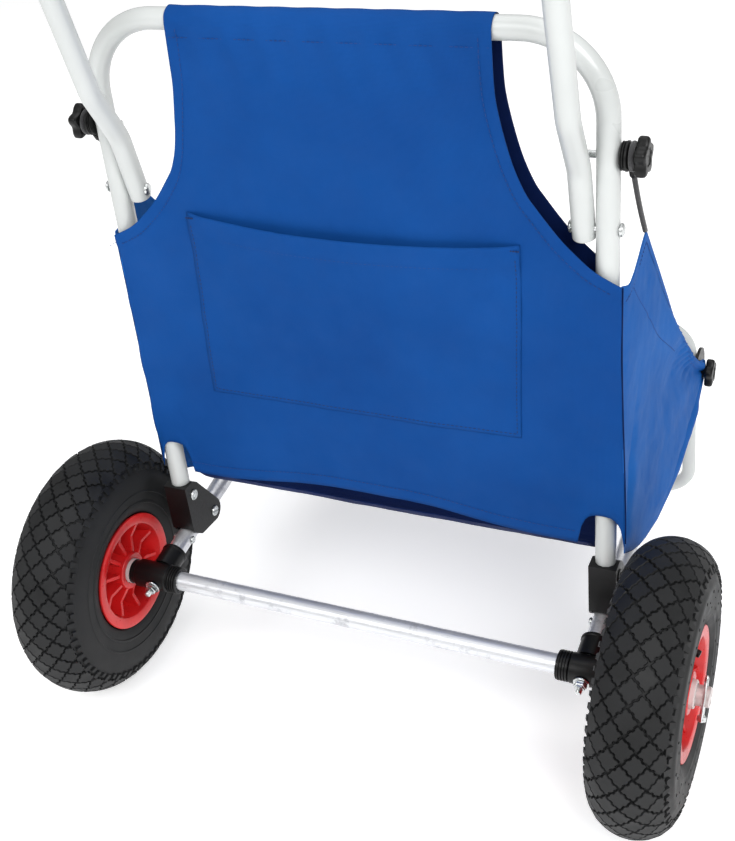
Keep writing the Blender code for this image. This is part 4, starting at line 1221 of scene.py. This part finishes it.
def bag_front():
    """The bag's front, which runs up to the leg loop's top bar and narrows with its round corners."""
    ys, zs = zip(*FRONT_PATH)
    stops = np.linspace(0, 1, len(FRONT_PATH))

    def cell(part, c):
        y, z = float(np.interp(part, stops, ys)), float(np.interp(part, stops, zs))
        rise = max(0.0, z - 0.2110) / 0.032
        x = c * (0.2285 - 0.030 * (1 - math.sqrt(max(0.0, 1 - rise * rise))))
        return (x, y - CENTRE_Y - 0.0010 - 0.0018 * abs(ripple(x, y, z, 14.0, 6.0)), z), (x, z)

    rows = grid(np.linspace(0, 1, 40), np.linspace(-1, 1, 101), cell)
    # The front cloth uses the same lighter blue, which is painted light.
    obj = sewn("bag_front_cloth", rows, SIDE_BLUE_PAINTED_LIGHT, "bag_front")
    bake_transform(obj)


cover()
pocket()
gussets()
bag_floor()
bag_front()

# ---------------------------------------------------------------- elastic cords

CORD = 0.0042


def cords():
    """Each cord runs from the cloth's peak up to the knob's hub, round it once and back into its crimp."""
    crimp = [(0, 0), (0.0030, 0.0003), (0.0033, 0.001), (0.0033, 0.0062), (0.0030, 0.0069), (0, 0.0072)]
    for name, side in SIDES:
        peak = Vector((side * GUSSET_X, 0.1300 - CENTRE_Y, 0.4948))
        meet = Vector((side * 0.2372, LOCK[0] + 0.0045, LOCK[1] - 0.0128))
        path = []
        for t in np.linspace(0, 1, 20):
            path.append(peak.lerp(meet, t) + Vector((0, -0.0012, -0.0012)) * math.sin(math.pi * t))
        run = (path[17] - path[19]).normalized()
        grip = path[19] - run * 0.001
        for k in range(41):
            y, z = ahead(LOCK, -48 + 318 * k / 40, 0.0094)
            path.append(Vector((side * (0.2378 + 0.0012 * k / 40), y, z)))
        mesh = rings_mesh("cord", tube_rings(path, CORD / 2, 14, 0))
        made = piece(f"elastic_{name}", mesh, BRAID, "back_frame", 0,
                     [f"elastic_cord_{name}"])
        clip = turned(f"cord_crimp_{name}", crimp, grip, run, BLACK, "back_frame", (), 20)


cords()

# ---------------------------------------------------------------- floor and light

def studio():
    """A pale floor, a white world and three soft lamps aimed at the cart's middle."""
    mesh = bpy.data.meshes.new("floor")
    work = bmesh.new()
    bmesh.ops.create_grid(work, x_segments=1, y_segments=1, size=6.0)
    work.to_mesh(mesh)
    work.free()
    floor = bpy.data.objects.new("studio_floor", mesh)
    bpy.context.scene.collection.objects.link(floor)
    floor_mat = shader("pale_floor", (0.94, 0.94, 0.94), 0.9, Emission_Strength=0.44)
    floor_mat.node_tree.nodes["Principled BSDF"].inputs["Emission Color"].default_value = (1, 1, 1, 1)
    mesh.materials.append(floor_mat)
    world = bpy.data.worlds.new("studio")
    world.use_nodes = True
    world.node_tree.nodes["Background"].inputs["Color"].default_value = (1, 1, 1, 1)
    world.node_tree.nodes["Background"].inputs["Strength"].default_value = 0.38
    bpy.context.scene.world = world
    lights = [("key", (1.5, -1.5, 2.1), 1.3, 44), ("fill", (-0.8, -2.3, 2.2), 1.6, 30)]
    lights += [("top", (0.0, 0.5, 3.0), 2.6, 34)]
    for name, place, size, power in lights:
        data = bpy.data.lights.new(name, "AREA")
        data.size = size
        data.energy = power
        lamp = bpy.data.objects.new(name, data)
        bpy.context.scene.collection.objects.link(lamp)
        lamp.location = place
        lamp.rotation_euler = (Vector((0, 0, 0.35)) - Vector(place)).to_track_quat("-Z", "Y").to_euler()


studio()
bpy.context.scene.view_settings.view_transform = "Standard"
